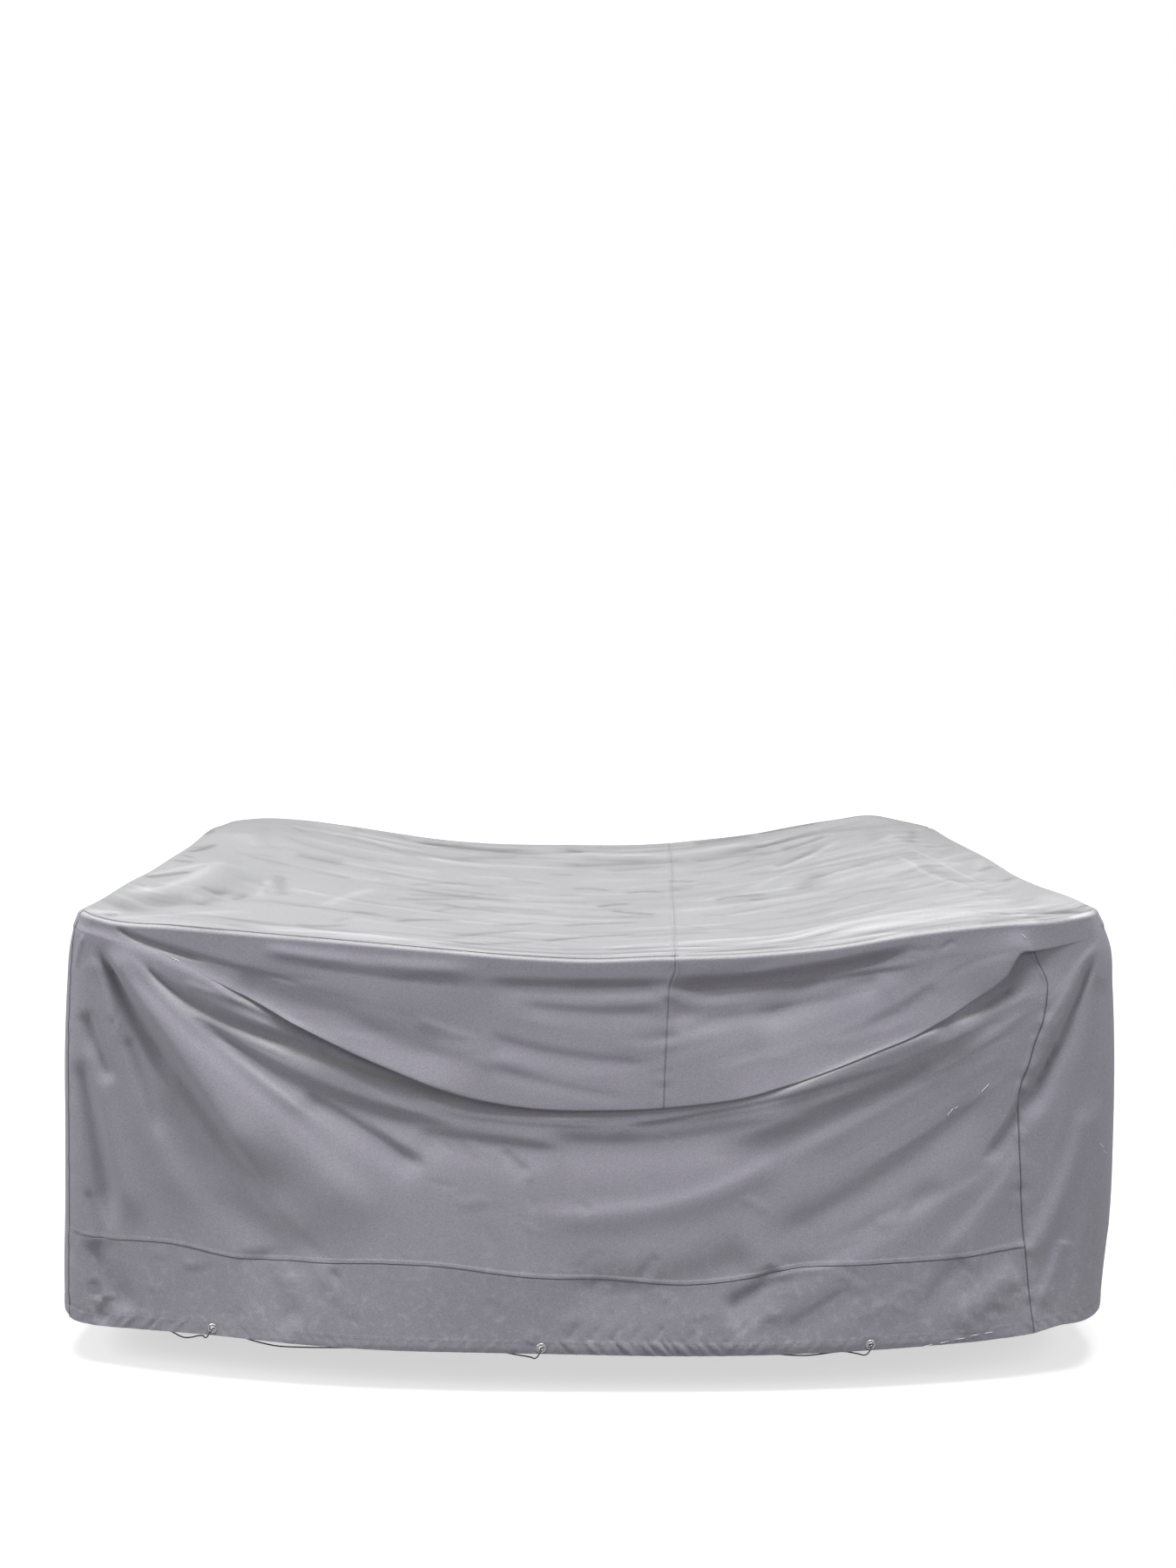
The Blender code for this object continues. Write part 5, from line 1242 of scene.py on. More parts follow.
@dataclass(frozen=True)
class WearAndPaintedShade:
    """Dust, seam dirt, the paler top, and shade and highlight painted on the apron, skirt and top."""

    shape: CoverShape
    column_width: float = 0.036
    over_top: float = 0.30  # how dark the centre seam's dirt is on the top
    over_apron: float = 0.65
    hem_dirt: float = 0.45
    band_grime: float = 0.22  # how dark the bottom band's middle is
    painted_apron_shade: float = 0.27  # painted shade on the apron's upper part, under the top's edge: how dark
    painted_shade_under_fold: float = 0.72  # painted shade on the skirt just under the apron's fold, where it is tucked in
    painted_crease_shading: float = 0.62  # painted shade and highlight: how much darker a hollow and lighter a ridge of the top is painted, for its height over its width
    dust_from: float = -0.45  # height from which the dust begins, and over how much it grows
    dust_over: float = 0.30
    fade_from: float = 0.3  # how far up a face looks from which it is paler, sun-faded and with painted sheen, and over how much more
    fade_over: float = 0.45
    front_edge: float = -0.80  # y of the apron's top
    fine_line: float = 0.0016  # width of the hem's line of dirt
    band_line: tuple[float, float] = (0.80, 0.0013)  # how dark the band seam's is, and its width
    # (loop column, how dark, width) of the upright seams
    seams: Rows = (
        (0.0, 0.90, 0.0016), (float(LOOP), 0.90, 0.0016), (float(CORNER_SEAM_COLUMN), 0.95, 0.0015),
        (float(BACK_START), 0.6, 0.002), (float(LEFT_START), 0.6, 0.002),
    )

    def of(self, points: Array, normals: Array, column: Array, panel: str) -> dict[str, Array]:
        """The masks of a panel's points.

        Each dark line, dirt and painted shade alike, is a distance from it, how dark it is, and its width.
        The darkest one counts.

        Args:
            points: the outer skin's points.
            normals: their normals.
            column: their loop columns.
            panel: the panel's name.

        Returns:
            Values from 0 to 1 by attribute name.
        """
        x, y, z = points.T
        low = smooth_step((self.dust_from - z) / self.dust_over)
        band = np.abs(z - through(BAND_SEAM, x)) + (column > CORNER_SEAM_COLUMN)
        seams = [(band, *self.band_line)]
        for seam, dark, wide in self.seams:
            seams.append((np.abs(column - seam) * self.column_width, dark, wide))
        hem = np.abs(z - through(HEM, x) - self.shape.hem_band) + (column > RIGHT_START)
        seams.append((hem, self.hem_dirt * (0.6 + 0.4 * uneven(x, 0.013, 0.2)), self.fine_line))
        # Painted shade on the skirt just under the apron's fold, darkest where the cloth is tucked in most.
        if panel == "front_skirt":
            below = through(FOLD_LINE, x) - z
            deep = np.clip(through(FOLD_LINE, x, 3) / 0.016, 0, 1) * smooth_step((0.90 - x) / 0.25)
            seams.append((below - 0.004, self.painted_shade_under_fold * deep, 0.019))
        if panel == "front_band":
            seams.append((x - 0.10, self.band_grime, 0.60))
        if panel.startswith("top"):
            dark = np.where(y > self.front_edge + 0.01, self.over_top, self.over_apron)
            seams = [(np.abs(column - CENTRE_COLUMN) * self.column_width, dark, 0.0015)]
            # Painted shade on the apron's upper part, under the top's edge.
            seams.append((z - 0.01, self.painted_apron_shade * smooth_step((self.front_edge - y) / 0.04), 0.12))
        # The seam mask holds the dark lines of seam dirt and the bands of painted shade; the darkest counts.
        line = np.zeros(len(points))
        for d, dark, wide in seams:
            line = np.maximum(line, dark * bell(d, wide))
        # Faces that look up are paler and greyer: partly sun-fading, partly painted sheen.
        fade_and_sheen = smooth_step((normals[:, 2] - self.fade_from) / self.fade_over)
        # Painted shade in the top's hollows and painted highlight on its ridges, from the folds' height over
        # their width.
        marked = np.zeros(len(points))
        if panel.startswith("top"):
            marked = self.shape.top_folds.relief(x, y)[1] + self.shape.top_creases.relief(x, y)[1]
        crease = np.clip(0.5 + self.painted_crease_shading * marked, 0, 1)
        return {"dust": np.clip(low, 0, 1), "seam": np.clip(line, 0, 1), "fade_and_sheen": fade_and_sheen, "crease": crease}


def add_node(tree: bpy.types.NodeTree, kind: str, inputs: dict | None = None,
             **settings: object) -> bpy.types.Node:
    """A new node.

    Args:
        tree: the tree it goes into.
        kind: its type, without the leading ShaderNode.
        inputs: what feed() puts into it.
        settings: its own properties, which are set first.

    Returns:
        The node.
    """
    node = tree.nodes.new("ShaderNode" + kind)
    for name, value in settings.items():
        setattr(node, name, value)
    feed(tree, node, inputs or {})
    return node


def feed(tree: bpy.types.NodeTree, node: bpy.types.Node, inputs: dict) -> None:
    """Fills a node's inputs.

    Args:
        tree: the node's tree.
        node: the node.
        inputs: by socket name or number, another node's socket to link or a value to set.
    """
    for socket, value in inputs.items():
        if isinstance(value, bpy.types.NodeSocket):
            tree.links.new(value, node.inputs[socket])
        else:
            node.inputs[socket].default_value = value


def computed(tree: bpy.types.NodeTree, operation: str, *values: object) -> bpy.types.NodeSocket:
    """The result of a math node with the given operation and inputs."""
    return add_node(tree, "Math", dict(enumerate(values)), operation=operation).outputs[0]


def spread_over(tree: bpy.types.NodeTree, value: bpy.types.NodeSocket, to: tuple[float, float],
                source: tuple[float, float] = (0.0, 1.0), kind: str = "LINEAR") -> bpy.types.NodeSocket:
    """The result of a map range node that takes one range to another.

    Args:
        tree: the tree it goes into.
        value: what is mapped.
        to: the range it is mapped to.
        source: the range it comes from.
        kind: the way between.

    Returns:
        The node's output.
    """
    inputs = {"From Min": source[0], "From Max": source[1], "To Min": to[0], "To Max": to[1], "Value": value}
    return add_node(tree, "MapRange", inputs, interpolation_type=kind).outputs["Result"]


def mixed_colour(tree: bpy.types.NodeTree, factor: object, first: object, second: object,
                 blend: str = "MIX") -> bpy.types.NodeSocket:
    """A colour between two, or blended from them.

    Args:
        tree: the tree its node goes into.
        factor: how much of the second, as a value or a socket.
        first: a colour or a socket.
        second: the same.
        blend: how they are blended.

    Returns:
        The node's output.
    """
    inputs = {"Factor": factor, "A": first, "B": second}
    return add_node(tree, "Mix", inputs, data_type="RGBA", blend_type=blend).outputs["Result"]


def by_ray(tree: bpy.types.NodeTree, thrown: bpy.types.NodeSocket,
           seen: bpy.types.NodeSocket) -> bpy.types.NodeSocket:
    """A shader that the camera sees as one thing while it lights the scene as another.

    Args:
        tree: the tree its nodes go into.
        thrown: the shader for the light it throws.
        seen: the shader the camera sees.

    Returns:
        The mix of the two.
    """
    path = add_node(tree, "LightPath")
    return add_node(tree, "MixShader", {"Fac": path.outputs["Is Camera Ray"], 1: thrown, 2: seen}).outputs[0]


@dataclass(frozen=True)
class CoatedCloth:
    """Grey coated polyester: fine weave, soft sheen, mottled dust, pale flecks, and painted shade and
    highlight.
    """

    colour: tuple[float, float, float] = (0.285, 0.275, 0.318)
    dusty: tuple[float, float, float] = (0.43, 0.42, 0.45)
    # dark: seam dirt, and painted shade under the apron's fold and on its upper part
    dark: tuple[float, float, float] = (0.07, 0.068, 0.080)
    # hollow: painted shade in the top's creases; ridge: painted highlight on its ridges; their mix is the
    # top's tone
    hollow: tuple[float, float, float] = (0.150, 0.150, 0.156)
    ridge: tuple[float, float, float] = (0.500, 0.500, 0.508)
    roughness: float = 0.50
    grain: float = 0.13  # how far the weave's threads differ in brightness
    weave_pitch: float = 0.0009
    clouds: float = 0.12  # how strong the faint clouds are
    sheen: tuple[float, float] = (0.10, 0.45)  # weight and roughness
    bump: tuple[float, float] = (0.25, 0.0002)  # strength and distance

    def material(self) -> bpy.types.Material:
        """The node material.

        Returns:
            A finish whose colour comes from the masks and the mottle, and whose bump is the weave.
        """
        made = bpy.data.materials.new("coated_cloth_finish")
        made.use_nodes = True
        tree = made.node_tree
        colour, dusty, dark, hollow, ridge = (
            (*c, 1.0) for c in (self.colour, self.dusty, self.dark, self.hollow, self.ridge))
        place = add_node(tree, "TexCoord").outputs
        mottle = add_node(tree, "Group", node_tree=mottle_group())
        feed(tree, mottle, {"Place": place["Object"], "Size": 1.0})
        clouds, patches, flecks, grain = (mottle.outputs[row[0]] for row in MOTTLE)
        dust, seam, fade_and_sheen, crease = (add_node(tree, "Attribute", attribute_name=name).outputs["Fac"]
                                    for name in ("dust", "seam", "fade_and_sheen", "crease"))
        spots = computed(tree, "MULTIPLY", flecks, dust)
        faint = computed(tree, "MULTIPLY_ADD", clouds, self.clouds, spots)
        pale = computed(tree, "MULTIPLY_ADD", patches, dust, faint)
        # Faces that look up take the top's tone, with painted shade in its hollows and painted highlight on
        # its ridges.
        base = mixed_colour(tree, fade_and_sheen, colour, mixed_colour(tree, crease, hollow, ridge))
        # The seam mask darkens it: seam dirt, and painted shade under the apron's fold and on its upper part.
        stained_and_shaded = mixed_colour(tree, seam, mixed_colour(tree, pale, base, dusty), dark)
        speck = spread_over(tree, grain, (1 - self.grain, 1 + self.grain))
        weave = add_node(tree, "Group", node_tree=weave_group())
        feed(tree, weave, {"Place": place["UV"], "Pitch": self.weave_pitch})
        strength, distance = self.bump
        bump = {"Strength": strength, "Distance": distance, "Height": weave.outputs["Height"]}
        feed(tree, tree.nodes["Principled BSDF"], {
            "Base Color": mixed_colour(tree, 1.0, stained_and_shaded, speck, "MULTIPLY"),
            "Roughness": self.roughness, "IOR": 1.45,
            "Sheen Weight": self.sheen[0], "Sheen Roughness": self.sheen[1],
            "Normal": add_node(tree, "Bump", bump).outputs["Normal"]})
        return made


def new_group(name: str, inputs: dict[str, str], outputs: tuple[str, ...]) -> bpy.types.NodeTree:
    """An empty shader node group with named sockets.

    Args:
        name: the group's name.
        inputs: socket types by name.
        outputs: names of its value outputs.

    Returns:
        The node tree, with its group input and output nodes.
    """
    tree = bpy.data.node_groups.new(name, "ShaderNodeTree")
    for label, kind in inputs.items():
        tree.interface.new_socket(label, in_out="INPUT", socket_type=kind)
    for label in outputs:
        tree.interface.new_socket(label, in_out="OUTPUT", socket_type=VALUE)
    tree.nodes.new("NodeGroupInput").name = "in"
    tree.nodes.new("NodeGroupOutput").name = "out"
    return tree


def mottle_group() -> bpy.types.NodeTree:
    """Clouds, patches, flecks and grain from noise at four scales.

    Returns:
        The group. Each of its outputs is a value from 0 to 1.
    """
    tree = new_group("mottle", {"Place": VECTOR, "Size": VALUE}, tuple(row[0] for row in MOTTLE))
    given = tree.nodes["in"].outputs
    scaled = add_node(tree, "VectorMath", {0: given["Place"], "Scale": given["Size"]}, operation="SCALE")
    for label, scale, detail, low, high, most in MOTTLE:
        noise = {"Scale": scale, "Detail": detail, "Vector": scaled.outputs["Vector"]}
        noise = add_node(tree, "TexNoise", noise).outputs["Fac"]
        found = spread_over(tree, noise, (0.0, most), (low, high), "SMOOTHSTEP")
        tree.links.new(found, tree.nodes["out"].inputs[label])
    return tree


def weave_group() -> bpy.types.NodeTree:
    """A plain weave's height: the product of two sines across the cloth, one a thread apart each way.

    Returns:
        The group.
    """
    tree = new_group("plain_weave", {"Place": VECTOR, "Pitch": VALUE}, ("Height",))
    given = tree.nodes["in"].outputs
    split = add_node(tree, "SeparateXYZ", {0: given["Place"]}).outputs
    sines = []
    for axis in ("X", "Y"):
        threads = computed(tree, "DIVIDE", split[axis], given["Pitch"])
        sines.append(computed(tree, "SINE", computed(tree, "MULTIPLY", threads, math.pi)))
    tree.links.new(computed(tree, "MULTIPLY", *sines), tree.nodes["out"].inputs["Height"])
    return tree


@dataclass(frozen=True)
class Plain:
    """A plain finish with a little noise in its roughness: metal, thread or cord."""

    name: str
    colour: tuple[float, float, float]
    metallic: float = 0.0
    roughness: float = 0.6
    uneven: float = 0.08  # how far the roughness differs
    grain: float = 400.0
    bump: float = 0.0001

    def material(self) -> bpy.types.Material:
        """The node material.

        Returns:
            A finish whose roughness and bump follow one noise.
        """
        made = bpy.data.materials.new(self.name)
        made.use_nodes = True
        tree = made.node_tree
        place = add_node(tree, "TexCoord").outputs["Object"]
        noise = add_node(tree, "TexNoise", {"Scale": self.grain, "Vector": place}).outputs["Fac"]
        bump = add_node(tree, "Bump", {"Distance": self.bump, "Strength": 0.5, "Height": noise})
        rough = spread_over(tree, noise, (self.roughness - self.uneven, self.roughness + self.uneven))
        feed(tree, tree.nodes["Principled BSDF"], {
            "Base Color": (*self.colour, 1.0), "Metallic": self.metallic, "Roughness": rough,
            "Normal": bump.outputs["Normal"]})
        return made


@dataclass(frozen=True)
class PaleFloor:
    """A pale floor that looks white but throws little light back up."""

    thrown: float = 0.30  # how much light it throws back onto the cloth
    shown: float = 0.55  # how pale it looks
    glow: float = 0.62  # near the cover, so that the cover's own shade still shows a little
    far_glow: float = 1.0
    near_radius: float = 2.0
    far_radius: float = 7.0

    def material(self) -> bpy.types.Material:
        """The node material.

        Returns:
            A finish that the camera sees brighter than the light it throws.
        """
        made = bpy.data.materials.new("pale_floor")
        made.use_nodes = True
        tree = made.node_tree
        place = add_node(tree, "TexCoord").outputs["Object"]
        away = add_node(tree, "VectorMath", {0: place}, operation="LENGTH").outputs["Value"]
        glow = spread_over(tree, away, (self.glow, self.far_glow), (self.near_radius, self.far_radius),
                           "SMOOTHSTEP")
        shown = tree.nodes["Principled BSDF"]
        feed(tree, shown, {"Base Color": (self.shown,) * 3 + (1.0,), "Roughness": 1.0,
                           "Specular IOR Level": 0.0, "Emission Color": WHITE, "Emission Strength": glow})
        thrown = add_node(tree, "BsdfDiffuse", {"Color": (self.thrown,) * 3 + (1.0,)})
        mixed = by_ray(tree, thrown.outputs[0], shown.outputs[0])
        tree.links.new(mixed, tree.nodes["Material Output"].inputs["Surface"])
        return made


@dataclass
class ClothPanels:
    """The eight sewn panels of the cover."""

    shape: CoverShape
    finish: bpy.types.Material
    front_fine: int = 6  # samples to a front column
    side_fine: int = 9
    back_fine: int = 5
    near: tuple[float, ...] = (0.02, 0.05, 0.09, 0.15, 0.23, 0.32)  # extra samples beside a seam, in columns
    clear: float = 0.018  # other samples nearer to those than this go
    # heights and places from which the texture coordinates run on down the walls
    side_x: float = 1.1
    side_level: float = 0.12
    front_level: float = 0.06
    back_level: float = 0.1

    def columns(self, first: float, last: float) -> Array:
        """The loop columns of a panel's grid, closer beside seams.

        Args:
            first: where the panel begins.
            last: where it ends.

        Returns:
            The columns in order.
        """
        found = [np.array([first, last], float)]
        for k in range(int(first), int(last)):
            at = k % LOOP
            fine = self.front_fine if at < RIGHT_START else self.side_fine
            if BACK_START <= at < LEFT_START:
                fine = self.back_fine
            found.append(np.linspace(k, k + 1, fine + 1))
        every = np.concatenate(found)
        for seam in (0, CENTRE_COLUMN, CORNER_SEAM_COLUMN, BACK_START, LEFT_START, LOOP):
            for turn in (0, LOOP):
                beside = np.array([seam + turn + side * d for d in self.near for side in (-1, 1)])
                beside = beside[(beside > first) & (beside < last)]
                if len(beside):
                    clear = np.abs(every[:, None] - beside).min(axis=1) > self.clear
                    whole = np.abs(every - np.round(every)) < 1e-9
                    every = np.concatenate([every[clear | whole], beside])
        return np.unique(np.round(every, 6))

    @staticmethod
    def rows(stops: tuple[tuple[float, int], ...]) -> Array:
        """Rows in even steps between stops, each a row and its steps to the next stop."""
        parts = [np.linspace(a, b, n + 1) for (a, n), (b, _) in zip(stops, stops[1:])]
        return np.unique(np.round(np.concatenate(parts), 6))

    def wall_patch(self, sheet: Sheet, s: Array, r: Array, points: Array | None = None) -> Array:
        """Adds a wall grid to a sheet, with the eyelets' holes that fall in it.

        Args:
            sheet: where it goes.
            s: its loop columns.
            r: its rows.
            points: its points, where they are known.

        Returns:
            The grid's points.
        """
        if points is None:
            points = self.shape.wall(s[None, :], r[:, None])
        holes = []
        for seat, (_, column, spans) in zip(self.shape.seats, EYELETS):
            for turn in (0, LOOP):
                c0, c1 = np.searchsorted(s, column + turn), np.searchsorted(s, column + turn + spans)
                inside = s[0] <= column + turn and column + turn + spans <= s[-1] and r[-1] >= HEM_ROW
                if inside:
                    r0, r1 = np.searchsorted(r, STITCH_ROW), np.searchsorted(r, HEM_ROW)
                    holes.append((int(r0), int(r1), int(c0), int(c1), seat))
        sheet.grid(points, self.wall_uv(s, points), np.mod(s, LOOP), holes)
        return points

    def wall_uv(self, s: Array, points: Array) -> Array:
        """Texture coordinates in metres: the top's x and y, continued down the walls.

        Args:
            s: the grid's loop columns.
            points: its points.

        Returns:
            The coordinates.
        """
        x, y, z = points[..., 0], points[..., 1], points[..., 2]
        at = np.mod(s, LOOP)[None, :]
        front, back = at <= RIGHT_START, (at >= BACK_START) & (at <= LEFT_START)
        right = (at > RIGHT_START) & (at < BACK_START)
        aside, edge = self.side_x + (self.side_level - z), self.shape.half_depth
        u = np.where(front | back, x, np.where(right, aside, -aside))
        behind = edge + (self.back_level - z)
        v = np.where(front, -edge - (self.front_level - z), np.where(back, behind, y))
        return np.stack([u, v], axis=-1)

    def top_panel(self, name: str, first: int, last: int) -> Sheet:
        """A top panel: its part of the top, its apron, and its drops at the side and the back.

        Args:
            name: the panel's name.
            first: its first front column.
            last: its last one.

        Returns:
            The panel's sheet.
        """
        sheet = Sheet(name)
        i = self.columns(first, last)
        side_first = LEFT_START if first == 0 else RIGHT_START
        side = self.columns(side_first, side_first + SIDE_SPANS)
        j = np.round((LOOP - side)[::-1] if first == 0 else side - RIGHT_START, 6)
        top = self.shape.top(i, j)
        apron_rows = self.rows(((0, 8), (ROLL_END, 44), (FOLD_ROW, 8), (SEAM_ROW, 0)))
        drop_rows = self.rows(((0, 6), (ROLL_END, 4), (FOLD_ROW, 2), (SEAM_ROW, 0)))
        apron = self.shape.wall(i[None, :], apron_rows[:, None])
        back_s = LEFT_START - i[::-1]
        back = self.shape.wall(back_s[None, :], drop_rows[:, None])
        side_s = LOOP - j[::-1] if first == 0 else RIGHT_START + j
        drop = self.shape.wall(side_s[None, :], drop_rows[:, None])
        top[0], top[-1] = apron[0], back[0][::-1]
        if first == 0:
            top[:, 0] = drop[0][::-1]
        else:
            top[:, -1] = drop[0]
        sheet.grid(top[::-1], top[::-1][..., :2], i)
        self.wall_patch(sheet, i, apron_rows, apron)
        self.wall_patch(sheet, back_s, drop_rows, back)
        self.wall_patch(sheet, side_s, drop_rows, drop)
        return sheet

    def wall_panel(self, name: str, first: int, last: int, stops: tuple[tuple[float, int], ...]) -> Sheet:
        """A wall panel between two loop columns.

        Args:
            name: the panel's name.
            first: its first loop column.
            last: its last one.
            stops: rows and the steps between them.

        Returns:
            The panel's sheet.
        """
        sheet = Sheet(name)
        self.wall_patch(sheet, self.columns(first, last), self.rows(stops))
        return sheet

    def build(self) -> dict[str, bpy.types.Object]:
        """Makes the panels in order.

        Returns:
            The new objects by node name.
        """
        skirt = ((SEAM_ROW, 8), (SEAM_ROW + 0.6, 76), (BAND_ROW - 0.3, 8), (BAND_ROW - 0.03, 3),
                 (BAND_ROW, 0))
        band = ((BAND_ROW, 3), (BAND_ROW + 0.03, 4), (BAND_ROW + 0.15, 24), (STITCH_ROW - 0.1, 4),
                (STITCH_ROW, 6), (HEM_ROW, 0))
        plain = ((SEAM_ROW, 3), (SEAM_ROW + 0.3, 60), (BAND_ROW, 0))
        plain_band = ((BAND_ROW, 18), (STITCH_ROW, 6), (HEM_ROW, 0))
        whole = skirt[:-1] + band
        side = plain[:-1] + plain_band
        sheets = (
            self.top_panel("top_left", 0, CENTRE_COLUMN),
            self.top_panel("top_right", CENTRE_COLUMN, FRONT_SPANS),
            self.wall_panel("front_skirt", 0, CORNER_SEAM_COLUMN, skirt),
            self.wall_panel("front_band", 0, CORNER_SEAM_COLUMN, band),
            self.wall_panel("side_right", CORNER_SEAM_COLUMN, BACK_START, whole),
            self.wall_panel("back_skirt", BACK_START, LEFT_START, plain),
            self.wall_panel("back_band", BACK_START, LEFT_START, plain_band),
            self.wall_panel("side_left", LEFT_START, LOOP, side),
        )
        wear = WearAndPaintedShade(self.shape)
        made = {}
        for sheet in sheets:
            piece = sheet.build(self.finish, wear)
            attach(piece, "root")
            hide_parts(sheet.name)
            made[sheet.name] = piece
        return made


@dataclass
class Stitching:
    """Thread stitches along the seams: small beads sunk into the cloth."""

    shape: CoverShape
    finish: bpy.types.Material
    pale: bpy.types.Material
    loose: float = 0.0006  # half the thickness of a loose thread
    long: float = 0.0032  # of a stitch
    thick: float = 0.00055
    proud: float = 0.0001  # how far its middle stands out of the cloth
    pitch: float = 0.0044  # from one stitch to the next
    aside: float = 0.04  # columns from an upright seam to the points beside it

    def bead(self) -> tuple[Array, Array]:
        """A spindle along X of two square rings between two points.

        Returns:
            Its points, and its faces as triangles.
        """
        ring = 0.9 * np.array([(0, 1, 0), (0, 0, 1), (0, -1, 0), (0, 0, -1)], float)
        points = np.concatenate([[(-0.5, 0, 0)], ring - [0.30, 0, 0], ring + [0.30, 0, 0], [(0.5, 0, 0)]])
        faces = []
        for k in range(4):
            n = (k + 1) % 4
            faces += [(0, 1 + n, 1 + k), (1 + k, 1 + n, 5 + n), (1 + k, 5 + n, 5 + k), (5 + k, 5 + n, 9)]
        return points, np.array(faces)

    def beads(self, middle: Array, axes: tuple[Array, Array, Array], sizes: Array, name: str,
              finish: bpy.types.Material) -> bpy.types.Object:
        """A piece of many spindles.

        Args:
            middle: their middles.
            axes: the directions of their lengths, widths and heights.
            sizes: their length, width and height, one row or a row for each.
            name: the piece's name.
            finish: its finish.

        Returns:
            The new object.
        """
        bead, faces = self.bead()
        spread = bead[None] * sizes
        points = middle[:, None] + sum(spread[..., k:k + 1] * axes[k][:, None] for k in range(3))
        all_faces = (faces[None] + np.arange(len(middle))[:, None, None] * len(bead)).reshape(-1, 3)
        made = mesh_object(name, points.reshape(-1, 3), all_faces, finish)
        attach(made, "root")
        log.info("%s: %d spindles", name, len(middle))
        return made

    def along(self, name: str, line: Array, beside: Array) -> bpy.types.Object:
        """Stitches along a fine line of surface points.

        Args:
            name: the piece's name.
            line: points of the line, close together.
            beside: for each, a point a little to the side on the surface.

        Returns:
            The new object.
        """
        run = distances(line)
        at = np.arange(self.pitch / 2, run[-1], self.pitch)
        middle, ahead = read_line(line, run, at), read_line(line, run, at + 0.001)
        forward = unit(ahead - middle)
        normal = unit(np.cross(forward, read_line(beside, run, at) - middle))
        axes = (forward, np.cross(normal, forward), normal)
        sizes = np.array([self.long, self.thick, self.thick])
        return self.beads(middle + self.proud * normal, axes, sizes, name, self.finish)

    def build(self) -> None:
        """Stitches of the centre, corner, band and hem seams, and the loose threads."""
        wall = self.shape.wall
        s = np.linspace(0, CORNER_SEAM_COLUMN, 2200)
        for name, row, beside in (("band_seam_stitches", BAND_ROW - 0.13, 0.05),
                                  ("hem_stitches", STITCH_ROW + 0.10, 0.1)):
            self.along(name, wall(s, np.full_like(s, row)), wall(s, np.full_like(s, row + beside)))
        r = np.linspace(SEAM_ROW + 0.05, HEM_ROW - 0.05, 900)
        for name, column in (("right_corner_stitches", CORNER_SEAM_COLUMN - 0.16),
                             ("left_corner_stitches", 0.20)):
            self.along(name, wall(np.full_like(r, column), r), wall(np.full_like(r, column - self.aside), r))
        r = np.linspace(0.2, FOLD_ROW, 500)
        j = np.linspace(0.05, SIDE_SPANS - 0.05, 900)
        for name, offset in (("centre_stitches_left", -0.14), ("centre_stitches_right", 0.14)):
            column = CENTRE_COLUMN + offset
            over = self.shape.top(np.array([column - self.aside, column]), j)
            line = np.concatenate([over[::-1, 1], wall(np.full_like(r, column), r)])
            beside = np.concatenate([over[::-1, 0], wall(np.full_like(r, column - self.aside), r)])
            self.along(name, line, beside)
        self.threads()

    def threads(self) -> None:
        """The short pale threads and scuffs, each a thin spindle on the cloth between its two ends."""
        s0, r0, s1, r1 = np.array(PALE_THREADS).T
        starts, ends = self.shape.wall(s0, r0), self.shape.wall(s1, r1)
        forward, long = unit(ends - starts), np.linalg.norm(ends - starts, axis=1)
        side = unit(np.cross([0.0, -1.0, 0.0], forward))
        thick = np.full_like(long, self.loose)
        sizes = np.stack([long, thick, thick], axis=-1)[:, None]
        middle = (starts + ends) / 2 + [0.0, -self.loose, 0.0]
        self.beads(middle, (forward, side, np.cross(forward, side)), sizes, "pale_threads", self.pale)


@dataclass
class EyeletRings:
    """Metal eyelets: a rolled front rim, a barrel and a flat back washer."""

    shape: CoverShape
    finish: bpy.types.Material
    sides: int = 48
    # (radius, distance in front of the cloth) round the section
    section: Rows = (
        (0.0055, 0.0008), (0.0058, 0.0014), (0.0064, 0.0019), (0.0073, 0.0021), (0.0084, 0.0019),
        (0.0096, 0.0014), (0.0104, 0.0008), (0.0106, 0.0003), (0.0104, 0.0001), (0.0066, 0.0001),
        (0.0064, -0.0016), (0.0103, -0.0017), (0.0105, -0.0023), (0.0100, -0.0029), (0.0070, -0.0031),
        (0.0058, -0.0028), (0.0055, -0.0020),
    )

    def build(self) -> None:
        """The rings, each its section turned about its seat's axis."""
        turn = np.arange(self.sides) * 2 * math.pi / self.sides
        table = np.array(self.section)
        for seat in self.shape.seats:
            round_it = np.cos(turn)[:, None] * seat.along + np.sin(turn)[:, None] * seat.up
            points = (seat.middle + table[:, None, :1] * round_it[None]
                      + table[:, None, 1:] * seat.normal)
            index = np.arange(len(table) * self.sides).reshape(-1, self.sides)
            quads, flat = quads_of(np.vstack([index, index[:1]])), points.reshape(-1, 3)
            if signed_volume(flat, quads) < 0:
                quads = quads[:, ::-1]
            piece = mesh_object(seat.name + "_ring", flat, quads, self.finish)
            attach(piece, "root")
            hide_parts(seat.name)
        log.info("eyelets: %d", len(self.shape.seats))


def signed_volume(points: Array, quads: Array) -> float:
    """Six times the volume that closed faces hold, negative where they face inwards."""
    a, b, c, d = (points[quads[:, k]] for k in range(4))
    return float((a * np.cross(b, c)).sum() + (a * np.cross(c, d)).sum())


